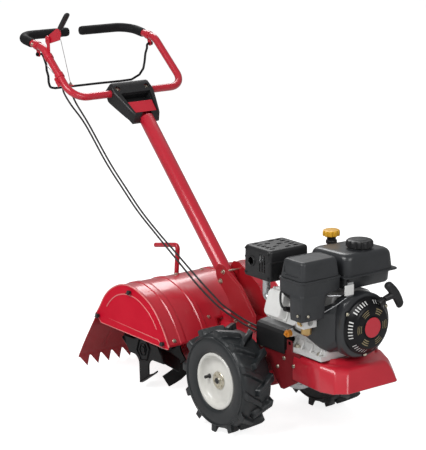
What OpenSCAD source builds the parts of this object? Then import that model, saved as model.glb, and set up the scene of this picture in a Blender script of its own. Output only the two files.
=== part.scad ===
// Rear-tine garden tiller: petrol engine in front, worm gear housing in the middle, tine rotor behind.
// Frame: +X forward, +Y the operator's left, +Z up, millimetres.
// The origin is on the ground, straight below the middle of the wheel axle.

/* [Wheels] */
// Outside diameter of the tyres, lugs included
tyre_d = 330; // [326:1:334]
// Width of one tyre
tyre_w = 113; // [104:1:115]
// Distance between the middles of the two tyres
track = 396; // [392:1:404]
// Number of lugs on each half of a tyre
lug_count = 12; // [8:1:16]
/* [Tines] */
// Distance of the tine shaft behind the wheel axle
tine_back = 457; // [455:1:459]
// Height of the tine shaft above the ground
tine_z = 140; // [139:1:142]
// Radius of the circle that the tine tips follow
tine_r = 138; // [130:1:139]
/* [Hood] */
// Width over the two hood end plates
hood_w = 510; // [500:2:520]
// Thickness of the hood sheet
hood_t = 2; // [1.5:0.5:3]
// Number of teeth along the edge of the rear flap
flap_teeth = 11; // [7:1:15]
/* [Handle] */
// Outside diameter of the handle column
column_d = 51; // [48:1:51]
// Outside diameter of the handlebar tube
bar_d = 25.4; // [22:0.2:25.6]
// Outside diameter of the foam grips
grip_d = 34; // [30:1:38]
// Half width over the two arms, at the grips
bar_half = 232; // [225:1:240]
/* [Engine] */
// Height of the crankshaft
crank_z = 397; // [395:1:399]
// Radius of the blower housing
blower_r = 97; // [94:1:99]
// Slope of the cylinder above the horizontal
cyl_tilt = 17; // [16:1:18]
// Bore of the cylinder
bore_d = 70; // [62:1:74]
/* [Gear train] */
// Teeth on the wheel gear, turned by a worm with one thread
wheel_teeth = 36; // [36:1:36]
// Teeth on the tine gear, turned by a worm with four threads
tine_teeth = 26; // [26:1:26]
// Working radius of the belt on the input pulley
belt_big = 94; // [90:1:96]
// Working radius of the belt on the engine pulley
belt_small = 27; // [25:1:30]

/* [Hidden] */
$fn = 48;

// colours
red = "#b3182a";
black = "#1b1c1e";
graphite = "#3c4043";
alloy = "#c9ccc9";
steel = "#9a9c9e";
zinc = "#c8b877";

// small clearance between parts that are bolted together, and of a shaft in its bore
gap = 0.3;
fit = 0.05;

// wheels
axle_z = tyre_d/2;
axle_r = 9.5;
axle_half = 241;
wheel_y = track/2;
rim_r = 78.5;
flange_r = 89;
rim_half = 50;
hub_r = 16;

// gear train, worms above the wheel gear and the tine gear
wheel_mod = 2.5;
wheel_pitch_r = wheel_mod*wheel_teeth/2;
wheel_worm_r = 14;
wheel_worm_a = 2;
worm_z = axle_z + wheel_pitch_r + wheel_worm_r;
tine_x = -tine_back;
tine_mod = 5;
tine_starts = 4;
tine_pitch_r = tine_mod*tine_teeth/2;
tine_worm_r = worm_z - tine_z - tine_pitch_r;
tine_worm_a = 4;
tine_shaft_r = 12.5;
shaft_r = 10;
shaft_x0 = -505;
shaft_x1 = 148;
belt_x = 125;
belt_w = 9;
belt_h = 8;

// gear housing
tunnel_r = 34;
tunnel_bore = 26;
tunnel_x0 = -515;
tunnel_x1 = 44;
case_r = 56;
case_bore = 50;
case_half = 34;
tine_case_r = 80;
tine_case_bore = 73;
tine_case_half = 40;
gear_half = 20;
axle_tube_r = 24;
axle_tube_half = 118;
bearing_w = 14;
axle_seat_r = 20;
tine_hub_r = 28;
tine_hub_half = 58;
tine_seat_r = 22.5;
worm_seat_r = 23.5;
worm_front_seat = 28;
worm_rear_seat = -507;

// depth stake, a round rod that slides along its own slope
stake_r = 8;
stake_low = [-563, 0, 15];
stake_high = [-526, 0, 452];
stake_dir = (stake_high - stake_low)/norm(stake_high - stake_low);

// hood and flap
hood_half = hood_w/2;
hood_low = 206;
hinge_x = -652;
hinge_z = 226;
hinge_r = 3;
knuckle_r = 6;

// handle column, in the middle plane, sloping up to the rear
column_low = [-227, 0, 369];
column_top = [-815, 0, 974.5];
column_dir = (column_low - column_top)/norm(column_low - column_top);
column_nrm = [-column_dir.z, 0, column_dir.x];
column_wall = 2;
pivot = column_low - 32*column_dir;
clamp = [-236, 0, 426];
bracket_y = 30;
bracket_t = 3;
bar_low = [-797.6, 0, 936];
bar_bend = [-973, 0, 1085];
bar_rear = [-1140, 0, 1109];
bar_end = 29;
bar_wall = 2;
grip_gap = 0.1;
bar_path = [
    [bar_rear.x, -bar_end, bar_rear.z], [bar_rear.x, -bar_half, bar_rear.z],
    [bar_bend.x, -bar_half, bar_bend.z], [bar_low.x, -bar_half, bar_low.z],
    [bar_low.x, bar_half, bar_low.z], [bar_bend.x, bar_half, bar_bend.z],
    [bar_rear.x, bar_half, bar_rear.z], [bar_rear.x, bar_end, bar_rear.z]
];
bar_turn = 60;
bail_pivot = [-1003, 0, 1062];
bail_low = [-988, 0, 942];
bail_r = 4;
lever_pivot = [-952, -225, 1118];

// engine
case_x0 = 200;
case_x1 = 345;
foot_z = 291;
cyl_x = 243;
cyl_dir = [0, -cos(cyl_tilt), sin(cyl_tilt)];
deck = 100;
head_at = 150;
cover_at = 182;
cover_end = 212;
blower_x = 372;
blower_x1 = 403;
pull_dir = [0, cos(22), sin(22)];
guide = [421, 46, 466];

// ---- helpers ----
function unit(v) = v/norm(v);
function turn(u, v) = acos(max(-1, min(1, u*v)));

module along_x(x0, x1, r, y = 0, z = 0) {
    translate([x0, y, z]) rotate([0, 90, 0]) cylinder(h = x1 - x0, r = r);
}
module along_y(y0, y1, r, x = 0, z = 0) {
    translate([x, y0, z]) rotate([-90, 0, 0]) cylinder(h = y1 - y0, r = r);
}
module box(a, b) { translate(a) cube(b - a); }
// a flat outline drawn as (x, z) and given its thickness between two values of y
module sheet_xz(y0, y1) { translate([0, y1, 0]) rotate([90, 0, 0]) linear_extrude(y1 - y0) children(); }
// a flat outline drawn as (y, z) and given its thickness between two values of x
module sheet_yz(x0, x1) { translate([x0, 0, 0]) rotate([90, 0, 90]) linear_extrude(x1 - x0) children(); }
// a turned shape, drawn as (radius, length), on an axis along x or y
module turned_x(x = 0, y = 0, z = 0) {
    translate([x, y, z]) rotate([0, 90, 0]) rotate_extrude($fn = 96) children();
}
module turned_y(x = 0, y = 0, z = 0, fn = 96) {
    translate([x, y, z]) rotate([-90, 0, 0]) rotate_extrude($fn = fn) children();
}
module both_sides() {
    children();
    mirror([0, 1, 0]) children();
}
module rod(a, b, r) {
    v = b - a;
    l = norm(v);
    translate(a) rotate([0, acos(v.z/l), atan2(v.y, v.x)]) cylinder(h = l, r = r);
}
module elbow(corner, u, v, r, bend) {
    ang = turn(u, v);
    side = unit(v - (u*v)*u);
    c = corner - u*bend*tan(ang/2) + side*bend;
    ax = -side;
    az = cross(ax, u);
    multmatrix([[ax.x, u.x, az.x, c.x], [ax.y, u.y, az.y, c.y], [ax.z, u.z, az.z, c.z], [0, 0, 0, 1]])
        rotate_extrude(angle = ang) translate([bend, 0]) circle(r);
}
// a round bar along a line of points, with every corner rounded; its ends can run on past the points.
// The elbows are a hair thicker than the straight runs, which reach a little way into them.
module bent_rod(p, r, bend, past = 0) {
    last = len(p) - 1;
    d = [for (i = [0:last - 1]) unit(p[i + 1] - p[i])];
    cut = [for (i = [0:last])
        i == 0 || i == last ? past : -bend*tan(turn(d[i - 1], d[i])/2) + weld_in];
    for (i = [0:last - 1]) rod(p[i] - d[i]*cut[i], p[i + 1] + d[i]*cut[i + 1], r);
    for (i = [1:last - 1]) elbow(p[i], d[i - 1], d[i], r + weld_bulge, bend);
}
weld_in = 0.5;
weld_bulge = 0.04;
// a hexagon head of a bolt with radius r, its underside at y, standing out towards out (-1 or 1)
module hex_head_y(x, y, z, r, out) {
    translate([x, y, z]) rotate([-90*out, 0, 0]) cylinder(h = 1.3*r, r = 1.9*r, $fn = 6);
}
// frame of the cylinder: x stays, z runs out along the bore
module cyl_frame() {
    translate([cyl_x, 0, crank_z]) rotate([90 - cyl_tilt, 0, 0]) children();
}
// frame of the column: x runs down the column from its top, z stands out from its upper face
module column_frame() {
    d = column_dir;
    n = column_nrm;
    multmatrix([[d.x, 0, n.x, column_top.x], [0, 1, 0, 0], [d.z, 0, n.z, column_top.z], [0, 0, 0, 1]])
        children();
}

// ---- gear housing ----
module transmission_housing() color(red) difference() {
    union() {
        along_x(tunnel_x0, tunnel_x1, tunnel_r, z = worm_z);
        along_x(tunnel_x1 - 8, tunnel_x1, 58, z = worm_z);
        along_y(-case_half, case_half, case_r, z = axle_z);
        along_y(-axle_tube_half, 0, axle_tube_r, z = axle_z);
        along_y(-tine_case_half, tine_case_half, tine_case_r, x = tine_x, z = tine_z);
        along_y(-tine_hub_half, 0, tine_hub_r, x = tine_x, z = tine_z);
        box([-200, -29, worm_z], [-70, 29, 296]);
        box([-330, -12, worm_z], [-200, 12, 286]);
        rod(stake_low + 235*stake_dir, stake_low + 285*stake_dir, 15);
        box([-545, -9, 250], [-500, 9, 262]);
        box([-515, -9, worm_z], [-495, 9, 262]);
    }
    along_x(-495, worm_front_seat, tunnel_bore, z = worm_z);
    along_x(worm_rear_seat, -494, worm_seat_r, z = worm_z);
    along_x(worm_front_seat - 1, 38, worm_seat_r, z = worm_z);
    along_x(37, 45, 18, z = worm_z);
    along_y(-gear_half, case_half + 1, case_bore, z = axle_z);
    along_y(-gear_half, tine_case_half + 1, tine_case_bore, x = tine_x, z = tine_z);
    along_y(-120, 0, 12, z = axle_z);
    along_y(-120, -axle_tube_half + bearing_w, axle_seat_r, z = axle_z);
    along_y(-60, 0, 16, x = tine_x, z = tine_z);
    along_y(-60, -tine_hub_half + bearing_w, tine_seat_r, x = tine_x, z = tine_z);
    rod(stake_low + 230*stake_dir, stake_low + 290*stake_dir, stake_r + fit);
    // two cross holes for the bolts of the handle bracket
    for (p = bracket_bolts) along_y(-30, 30, 4.1, x = p.x, z = p.y);
}
bracket_bolts = [[-169, 280], [-100, 280]];

module housing_covers() color(red) {
    // axle side cover, on the left of the wheel gear
    difference() {
        union() {
            along_y(case_half + gap, case_half + 8, case_r, z = axle_z);
            along_y(gear_half + 1, case_half + 1, case_bore - gap, z = axle_z);
            along_y(case_half, axle_tube_half, axle_tube_r, z = axle_z);
        }
        along_y(0, 120, 12, z = axle_z);
        along_y(axle_tube_half - bearing_w, 120, axle_seat_r, z = axle_z);
        along_x(-60, 60, tunnel_r + gap, z = worm_z);
        along_x(tunnel_x1 - 8 - gap, 60, 58 + gap, z = worm_z);
    }
    // tine side cover, on the left of the tine gear
    difference() {
        union() {
            along_y(tine_case_half + gap, tine_case_half + 6, tine_case_r, x = tine_x, z = tine_z);
            along_y(gear_half + 1, tine_case_half + 1, tine_case_bore - gap, x = tine_x, z = tine_z);
            along_y(tine_case_half, tine_hub_half, tine_hub_r, x = tine_x, z = tine_z);
        }
        along_y(0, 60, 16, x = tine_x, z = tine_z);
        along_y(tine_hub_half - bearing_w, 60, tine_seat_r, x = tine_x, z = tine_z);
    }
}

module ring_y(y0, y1, r_in, r_out, x = 0, z = 0) difference() {
    along_y(y0, y1, r_out, x, z);
    along_y(y0 - 1, y1 + 1, r_in, x, z);
}
module ring_x(x0, x1, r_in, r_out, y = 0, z = 0) difference() {
    along_x(x0, x1, r_out, y, z);
    along_x(x0 - 1, x1 + 1, r_in, y, z);
}
module shaft_bearings() color(steel) {
    both_sides() {
        ring_y(-axle_tube_half + 1, -axle_tube_half + bearing_w - fit, axle_r + fit, axle_seat_r - fit,
            z = axle_z);
        ring_y(-tine_hub_half + 1, -tine_hub_half + bearing_w - fit, tine_shaft_r + fit,
            tine_seat_r - fit, x = tine_x, z = tine_z);
    }
    ring_x(worm_front_seat + 2, 36.9, shaft_r + fit, worm_seat_r - fit, z = worm_z);
    ring_x(worm_rear_seat + fit, -495.1, shaft_r + fit, worm_seat_r - fit, z = worm_z);
    ring_x(38 + gap, 43.9, shaft_r + fit, 17.9, z = worm_z);
}

// ---- engine frame and bumper ----
side_y = 124;
module engine_frame() color(red) {
    difference() {
        union() {
            box([187, -side_y + 2.9, foot_z - 4], [397, side_y - 2.9, foot_z - fit]);
            both_sides() sheet_xz(-side_y, -side_y + 3)
                polygon([[47, 288], [47, 252], [85, 262], [141, 189], [165, 163], [180, 163], [253, 206],
                    [253, 288]]);
            box([47, -side_y + 2.9, 176], [50, side_y - 2.9, 288]);
            // upright tab at the right front corner of the belt cover
            sheet_xz(-side_y, -side_y + 3)
                polygon([[192, 288], [218, 288], [218, 318], [210, 325], [192, 325]]);
        }
        along_x(40, 60, 40, z = worm_z);
        box([40, -43, 170], [60, 43, 200]);
        box([198, -130, 309], [210, -110, 320]);
        for (p = engine_holes) translate([p.x, p.y, 280]) cylinder(h = 15, r = 4.6);
        for (a = flange_bolts) along_x(40, 60, 4.6, y = 50*cos(a), z = worm_z + 50*sin(a));
        for (x = [90, 230]) along_y(-130, 130, 3.6, x = x, z = 250);
    }
}
engine_holes = [[225, -110], [325, -110], [225, 95], [325, 95]];
// angles of the bolts around the flange of the gear housing
flange_bolts = [15, 65, 115, 165];

// the bumper is a pan of sheet steel with chamfered corners, open below and behind
module bumper_solid(inset) {
    i = inset;
    hull() {
        for (s = [-1, 1]) {
            box([200, s > 0 ? 120 : -129 + i, 208], [202, s > 0 ? 129 - i : -120, 282 - i]);
            translate([434 - i, s*(98 - i), 208]) cylinder(h = 19, r = 8, $fn = 24);
            translate([420 - i, s*(112 - i), 208]) cylinder(h = 19, r = 8, $fn = 24);
            translate([352 - i, s*(112 - i), 200]) cylinder(h = 64 - i, r = 12, $fn = 24);
            translate([396 - i, s*(72 - i), 200]) cylinder(h = 83 - i, r = 10, $fn = 24);
        }
    }
}
module front_bumper() color(red) difference() {
    bumper_solid(0);
    bumper_solid(2.5);
    box([190, -125.5, 190], [440, 125.5, 207.9]);
    box([190, -side_y - 0.5, 190], [254, side_y + 0.5, 310]);
    // the top is open under the engine
    box([190, -110, 240], [385, 110, 320]);
    along_y(-140, 140, 3.6, x = 230, z = 250);
}

// ---- hood ----
// outline of the hood from its rear lower edge over the top to its front lower edge, as (x, z)
hood_points = [[-640, 236], [-618, 266], [-592, 303], [-559, 333], [-515, 357], [-475, 368], [-435, 369],
    [-393, 360], [-351, 345], [-317, 324], [-288, 297], [-262, 265], [-231, 215]];
function mid_curve(a, b, c, d, t) =
    0.5*(2*b + (c - a)*t + (2*a - 5*b + 4*c - d)*t*t + (3*b - a - 3*c + d)*t*t*t);
function smooth(p, n) = [for (i = [0:len(p) - 2]) for (k = [0:n - 1])
    mid_curve(p[max(i - 1, 0)], p[i], p[i + 1], p[min(i + 2, len(p) - 1)], k/n), p[len(p) - 1]];
function inward(p, t) = [for (i = [0:len(p) - 1])
    let (d = unit(p[min(i + 1, len(p) - 1)] - p[max(i - 1, 0)])) p[i] + t*[d.y, -d.x]];
hood_curve = smooth(hood_points, 3);

module hood_shell() color(red) difference() {
    union() {
        sheet_xz(-hood_half + hood_t + gap, hood_half - hood_t - gap)
            polygon(concat(hood_curve, [for (i = [len(hood_curve) - 1:-1:0]) inward(hood_curve, hood_t)[i]]));
        // hinge knuckles on the rear edge
        for (y = [-225, 0, 225]) {
            along_y(y - 24, y + 24, knuckle_r, x = hinge_x, z = hinge_z);
            sheet_xz(y - 24, y + 24)
                polygon([[-656, 231], [-652, 226], [-637, 234], [-638, 239], [-640, 240]]);
        }
    }
    along_y(-260, 260, hinge_r + fit, x = hinge_x, z = hinge_z);
    box([-300, -38, 200], [-220, 38, 296]);
    box([-556, -16, 320], [-510, 16, 380]);
}

knob_spots = [[-441, 350], [-626, 228], [-259, 221]];
module hood_end_plates() color(red) both_sides() difference() {
    sheet_xz(-hood_half, -hood_half + hood_t)
        polygon(concat(hood_curve, [[-233, 208], [-240, hood_low], [-617, hood_low], [-634, 222]]));
    for (p = knob_spots) along_y(-260, -250, 3.2, x = p.x, z = p.y);
}
// each knob has a threaded shank that passes through its end plate
module hood_knobs() color(black) both_sides() for (p = knob_spots) {
    along_y(-hood_half - 11, -hood_half - fit, 8, x = p.x, z = p.y);
    along_y(-hood_half - 1, -hood_half + 9, 3, x = p.x, z = p.y);
}
module flap_hinge_pin() color(steel) along_y(-252, 252, hinge_r, x = hinge_x, z = hinge_z);

// the flap hangs from the pin, and its lower edge is cut into saw teeth
flap_t = 2;
flap_half = 246;
module rear_flap() color(red) {
    difference() {
        union() {
            sheet_xz(-flap_half, flap_half)
                polygon([[-655, 221], [-748, 84], [-772, 46], [-770.3, 45], [-746, 83], [-653, 220]]);
            for (s = [-1, 1]) {
                y0 = s > 0 ? 26 : -199;
                along_y(y0, y0 + 173, knuckle_r, x = hinge_x, z = hinge_z);
                sheet_xz(y0, y0 + 173) polygon([[-659, 226], [-655, 221], [-653, 219.6], [-648, 222]]);
            }
        }
        along_y(-260, 260, hinge_r + fit, x = hinge_x, z = hinge_z);
        for (y = [-225, 0, 225]) along_y(y - 25, y + 25, knuckle_r + 0.6, x = hinge_x, z = hinge_z);
    }
    edge = flap_half - 0.3;
    pitch = 2*edge/flap_teeth;
    translate([-771, 0, 45.7]) rotate([0, -14, 0]) rotate([90, 0, 90]) linear_extrude(flap_t, center = true)
        polygon(concat([[-edge, 0.6], [edge, 0.6]], [for (i = [flap_teeth - 1:-1:0])
            each [[-edge + (i + 1)*pitch, -12], [-edge + (i + 1)*pitch - 1, -41], [-edge + i*pitch, -12]]]));
}

// ---- handle ----
module handle_bracket() color(red) both_sides() difference() {
    sheet_xz(-bracket_y - bracket_t, -bracket_y)
        polygon([[-262, 447], [-236, 449], [-139, 398], [-66, 316], [-72, 262], [-196, 262], [-196, 318],
            [-212, 345], [-270, 400], [-278, 430]]);
    along_y(-40, -20, 5 + fit, x = pivot.x, z = pivot.z);
    along_y(-40, -20, 3.6, x = clamp.x, z = clamp.z);
    for (p = bracket_bolts) along_y(-40, -20, 4.1, x = p.x, z = p.y);
}
// a tube whose upper end is cut back to a channel and welded to a flat saddle behind the bar
module handle_column() color(red) difference() {
    union() {
        rod(column_top + 62*column_dir, column_low, column_d/2);
        column_frame() {
            translate([15, -70, saddle_n - 5]) cube([62, 140, 5]);
            translate([66, -19, saddle_n - 4]) cube([30, 38, 13]);
        }
    }
    rod(column_top + 60*column_dir, column_low + 2*column_dir, column_d/2 - column_wall);
    column_frame() translate([40, -40, 3]) cube([118, 80, 40]);
    along_y(-40, 40, 5 + fit, x = pivot.x, z = pivot.z);
    column_frame() for (s = [-1, 1]) translate([bar_s, s*bolt_y, -60]) cylinder(h = 80, r = 3 + fit);
}
module handlebar() color(red) difference() {
    bent_rod(bar_path, bar_d/2, bar_turn);
    bent_rod(bar_path, bar_d/2 - bar_wall, bar_turn, 1);
    for (s = [-1, 1]) rod([bar_low.x, s*bolt_y, bar_low.z] - 20*column_nrm,
        [bar_low.x, s*bolt_y, bar_low.z] + 20*column_nrm, 3.1);
}
module handle_grips() color(black) both_sides() difference() {
    p = [[-1045, -bar_half, 1095.3], [bar_rear.x, -bar_half, bar_rear.z], [bar_rear.x, -27, bar_rear.z]];
    bent_rod(p, grip_d/2, bar_turn);
    bent_rod(p, bar_d/2 + grip_gap, bar_turn, 3);
}
// a hollow cover around the top of the column and the middle of the bar, open behind
module console_outline(i) {
    polygon([[10 + i, -79 + i], [55, -83 + i], [150 - i, -54 + i], [171 - i, -54 + i],
        [171 - i, 54 - i], [150 - i, 54 - i], [55, 83 - i], [10 + i, 79 - i]]);
}
module console_side(i) rotate([90, 0, 0]) translate([0, 0, -100]) linear_extrude(200)
    polygon([[10 + i, -36 - 4*i], [10 + i, 8 - i], [150 - i, 20 - i], [171 - i, -6 - i],
        [171 - i, -14 - 4*i], [50, -43 - 4*i]]);
module console() color(black) difference() {
    column_frame() difference() {
        intersection() {
            translate([0, 0, -60]) linear_extrude(90) console_outline(0);
            console_side(0);
        }
        intersection() {
            translate([0, 0, -60]) linear_extrude(90) console_outline(3);
            console_side(3);
        }
        // the window in the face, with sloping upper and lower edges
        translate([60, -56, 5]) cube([30, 112, 20]);
    }
    rod(column_top + 60*column_dir, column_low + 2*column_dir, column_d/2 + 0.5);
    along_y(-110, 110, bar_d/2 + 0.5, x = bar_low.x, z = bar_low.z);
    // slots that let the cover be pushed on over the bar
    column_frame() translate([bar_s - bar_d/2 - 0.4, -110, bar_n - 60]) cube([bar_d + 0.8, 220, 60]);
    column_frame() for (s = [-1, 1]) translate([bar_s, s*bolt_y, 0]) cylinder(h = 30, r = 3 + fit);
}
bar_s = (bar_low - column_top)*column_dir;
bar_n = (bar_low - column_top)*column_nrm;
saddle_n = bar_n - bar_d/2 - fit;
bolt_y = 60;
// clamps on both arms for the bail and the reverse lever, the cable stop, and the two bar bolts
arm_dir = unit([bar_rear.x - bar_bend.x, 0, bar_rear.z - bar_bend.z]);
low_arm = unit(bar_low - bar_bend);
arm_mid = [bar_bend.x, -bar_half, bar_bend.z] + 128*low_arm;
module control_brackets() color(red) {
    for (s = [-1, 1]) difference() {
        c = [bar_bend.x, s*bar_half, bar_bend.z] + 35.4*arm_dir;
        union() {
            rod(c - 6*arm_dir, c + 12*arm_dir, bar_d/2 + 3);
            sheet_xz(s*bar_half - 2, s*bar_half + 2)
                polygon([[-1020, 1086], [-994, 1084], [-995, 1056], [-1003, 1052], [-1012, 1056]]);
        }
        rod(c - 20*arm_dir, c + 30*arm_dir, bar_d/2 + fit);
        along_y(-250, 250, bail_r + fit, x = bail_pivot.x, z = bail_pivot.z);
    }
    // reverse lever clamp on the right arm, just below its bend
    lc = [bar_bend.x, -bar_half, bar_bend.z] + 42*low_arm;
    difference() {
        union() {
            rod(lc - 9*low_arm, lc + 9*low_arm, bar_d/2 + 3);
            sheet_xz(-231, -228)
                polygon([[-953, 1050], [-932, 1050], [-938, 1122], [-952, 1130], [-964, 1120], [-962, 1106],
                    [-953, 1098]]);
        }
        rod(lc - 30*low_arm, lc + 30*low_arm, bar_d/2 + fit);
        along_y(-240, -200, 4 + fit, x = lever_pivot.x, z = lever_pivot.z);
    }
    // lever pivot bolt
    along_y(-234, -219, 4, x = lever_pivot.x, z = lever_pivot.z);
    // cable stop plate on the inner side of the right arm
    difference() {
        union() {
            rod(arm_mid - 9*low_arm, arm_mid + 9*low_arm, bar_d/2 + 3);
            sheet_xz(arm_mid.y + 10, arm_mid.y + 13)
                polygon([[-905, 966], [-862, 966], [-862, 985], [-868, 1004], [-884, 1010], [-893, 990],
                    [-905, 972]]);
            translate([-905, arm_mid.y + 10, 966]) cube([43, 42, 3]);
        }
        rod(arm_mid - 30*low_arm, arm_mid + 30*low_arm, bar_d/2 + fit);
        for (p = cable_tops) translate([p.x, p.y, 950]) cylinder(h = 30, r = 3.2);
    }
    // two bolts through the bar, its saddle and the console
    for (s = [-1, 1]) rod([bar_low.x, s*bolt_y, bar_low.z] - 22*column_nrm,
        [bar_low.x, s*bolt_y, bar_low.z] + (8 - bar_n)*column_nrm, 3);
}
cable_tops = [[-893, arm_mid.y + 24, 0], [-874, arm_mid.y + 42, 0]];
module control_cables() color(black) for (i = [0, 1]) {
    s = i*9;
    bent_rod([[cable_tops[i].x, cable_tops[i].y, 964], [cable_tops[i].x + 4, cable_tops[i].y, 940],
        [-818 + s, -170 + s, 840], [-740 + s, -142 + s, 720], [-599 + s, -112 + s, 572],
        [-433 + s, -91 + s, 454 + s/2], [-323 + s, -79 + s, 378 + s], [-188, -78 + s, 321 + s],
        [-68, -90 + s, 305 + s], [53, -100 + s, 306 + s]], 3, 40);
}
bail_path = [[bail_pivot.x, -240, bail_pivot.z], [bail_pivot.x, -218, bail_pivot.z],
    [bail_low.x, -198, bail_low.z], [bail_low.x, 198, bail_low.z],
    [bail_pivot.x, 218, bail_pivot.z], [bail_pivot.x, 240, bail_pivot.z]];
module clutch_bail() color(black) bent_rod(bail_path, bail_r, 10);
clip = bail_path[1] + 0.3*(bail_path[2] - bail_path[1]);
module clutch_wire() color(steel) rod(clip + [5, 3, -3], [cable_tops[0].x, cable_tops[0].y, 971], 1);

lever_hook = [-886, -215, 1128];
module reverse_lever() color(red) difference() {
    union() {
        sheet_xz(-225, -221)
            polygon([[-964, 1114], [-950, 1132], [-900, 1160], [-884, 1160], [-876, 1142], [-884, 1122],
                [-940, 1106], [-956, 1106]]);
        rod([-893, -223, 1146], [-848, -223, 1197], 4.5);
    }
    along_y(-240, -200, 4 + fit, x = lever_pivot.x, z = lever_pivot.z);
    along_y(-240, -200, 1.6, x = lever_hook.x, z = lever_hook.z);
}
grip_low = [-880.7, -223, 1160];
grip_high = [-832, -223, 1215.1];
module lever_grip() color(black) difference() {
    rod(grip_low, grip_high, 10);
    rod(grip_low - 5*unit(grip_high - grip_low), [-846, -223, 1199.3], 4.5 + fit);
}
module reverse_wire() color(steel) rod([lever_hook.x, -218, lever_hook.z - 6],
    [cable_tops[1].x, cable_tops[1].y, 971], 1);

// ---- belt drive ----
// slope of the belt's straight runs away from the line of the two shafts
belt_slope = asin((belt_big - belt_small)/(crank_z - worm_z));
module belt_arc(r, z, from, to) translate([belt_x, 0, z]) rotate([90, 0, 90]) rotate([0, 0, from])
    rotate_extrude(angle = to - from) translate([r - belt_h/2, -belt_w/2]) square([belt_h, belt_w]);
module drive_belt() color(black) {
    belt_arc(belt_small, crank_z, belt_slope, 180 - belt_slope);
    belt_arc(belt_big, worm_z, 180 - belt_slope, 360 + belt_slope);
    run = (crank_z - worm_z)*cos(belt_slope);
    t = belt_h - 2*weld_bulge;
    w = belt_w - 2*weld_bulge;
    both_sides() translate([belt_x, 0, worm_z]) rotate([belt_slope, 0, 0])
        translate([-w/2, belt_big - t/2, -weld_in]) cube([w, t, run + 2*weld_in]);
}
// a grooved rim; r is the radius of the groove's floor, bore the radius of the hole
module pulley(r, bore, z, hub) turned_x(x = belt_x, z = z) difference() {
    polygon([[bore, -14], [hub, -14], [hub, -3], [r - 6, -3], [r - 6, -7], [r + 9, -7.5], [r - 0.5, -5],
        [r - 0.5, 5], [r + 9, 7.5], [r - 6, 7], [r - 6, 3], [hub, 3], [hub, 14], [bore, 14]]);
}
module input_pulley() color(steel) pulley(belt_big - belt_h/2, shaft_r + fit, worm_z, 20);
module engine_pulley() color(steel) turned_x(x = belt_x, z = crank_z)
    polygon([[11 + fit, -14], [18, -14], [20, -7.5], [32, -7.5], [belt_small - belt_h/2 - 0.5, -5],
        [belt_small - belt_h/2 - 0.5, 5], [32, 7.5], [20, 7.5], [18, 14], [11 + fit, 14]]);
idler_pivot = [112, 262];
idler_hub = [100, 314];
module idler_arm() color(steel) {
    difference() {
        sheet_yz(136, 140) {
            translate(idler_pivot) circle(9);
            translate(idler_hub) circle(8);
            polygon([[104, 263], [119, 266], [107, 315], [93, 312]]);
        }
        along_x(130, 145, 5 + fit, y = idler_pivot.x, z = idler_pivot.y);
    }
    // idler pulley with its pin
    along_x(118, 136, 4, y = idler_hub.x, z = idler_hub.y);
    turned_x(x = belt_x, y = idler_hub.x, z = idler_hub.y)
        polygon([[4 + fit, -7], [19, -7], [19, 7], [4 + fit, 7]]);
}
cover_yz = [[-130, 278], [-130, 338], [-126, 348], [-116, 353], [-72, 358], [-46, 430], [-24, 446],
    [24, 446], [46, 430], [72, 358], [116, 353], [126, 348], [130, 338], [130, 278]];
module belt_cover() color(black) difference() {
    sheet_yz(55, 187) polygon(cover_yz);
    sheet_yz(58, 184) offset(delta = -3) polygon(concat([[-130, 270]], cover_yz, [[130, 270]]));
    box([50, -127, 270], [190, 127, 289]);
    along_x(180, 190, 24, z = crank_z);
    sheet_yz(180, 190)
        polygon([[-100, 270], [-100, 300], [-24, crank_z], [24, crank_z], [100, 300], [100, 270]]);
    for (p = [[-100, 306], [-91, 315]]) along_x(50, 60, 3.4, y = p.x, z = p.y);
}

// a worm with rounded threads: an extrusion with wavy section that turns once in each lead
module worm(x, r, a, starts, lead, len, corners, step) {
    tw = 360*len/lead;
    translate([x - len/2, 0, worm_z]) rotate([0, 90, 0])
        linear_extrude(len, twist = tw, slices = ceil(tw/step), $fn = 0) rotate(180/starts + tw/2)
        polygon([for (i = [0:corners - 1])
            let (q = i*360/corners) (r + a*cos(starts*q))*[cos(q), sin(q)]]);
}
module worm_shaft() color(steel) {
    along_x(shaft_x0, shaft_x1, shaft_r, z = worm_z);
    worm(0, wheel_worm_r, wheel_worm_a, 1, PI*wheel_mod, 24, 18, 30);
    worm(tine_x, tine_worm_r, tine_worm_a, tine_starts, PI*tine_mod*tine_starts, 46, 32, 20);
}
// a worm gear: slanted straight teeth on a wheel
module worm_gear(n, m, w, bore, worm_r, lead, tall) {
    r = m*n/2;
    slant = atan(lead/(2*PI*worm_r));
    difference() {
        union() {
            along_y(-w/2, w/2, r - m);
            for (i = [0:n - 1]) rotate([0, i*360/n, 0]) rotate([0, 0, slant])
                sheet_xz(-w/2 + 1.5, w/2 - 1.5) polygon([[-0.95*m, r - 1.3*m], [0.95*m, r - 1.3*m],
                    [0.22*m, r + tall], [-0.22*m, r + tall]]);
        }
        along_y(-w, w, bore);
    }
}
module wheel_gear() color(zinc) translate([0, 0, axle_z])
    worm_gear(wheel_teeth, wheel_mod, 22, axle_r + fit, wheel_worm_r, PI*wheel_mod, 1.3);
module tine_gear() color(zinc) translate([tine_x, 0, tine_z])
    worm_gear(tine_teeth, tine_mod, 24, tine_shaft_r + fit, tine_worm_r, PI*tine_mod*tine_starts, 2.2);

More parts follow.
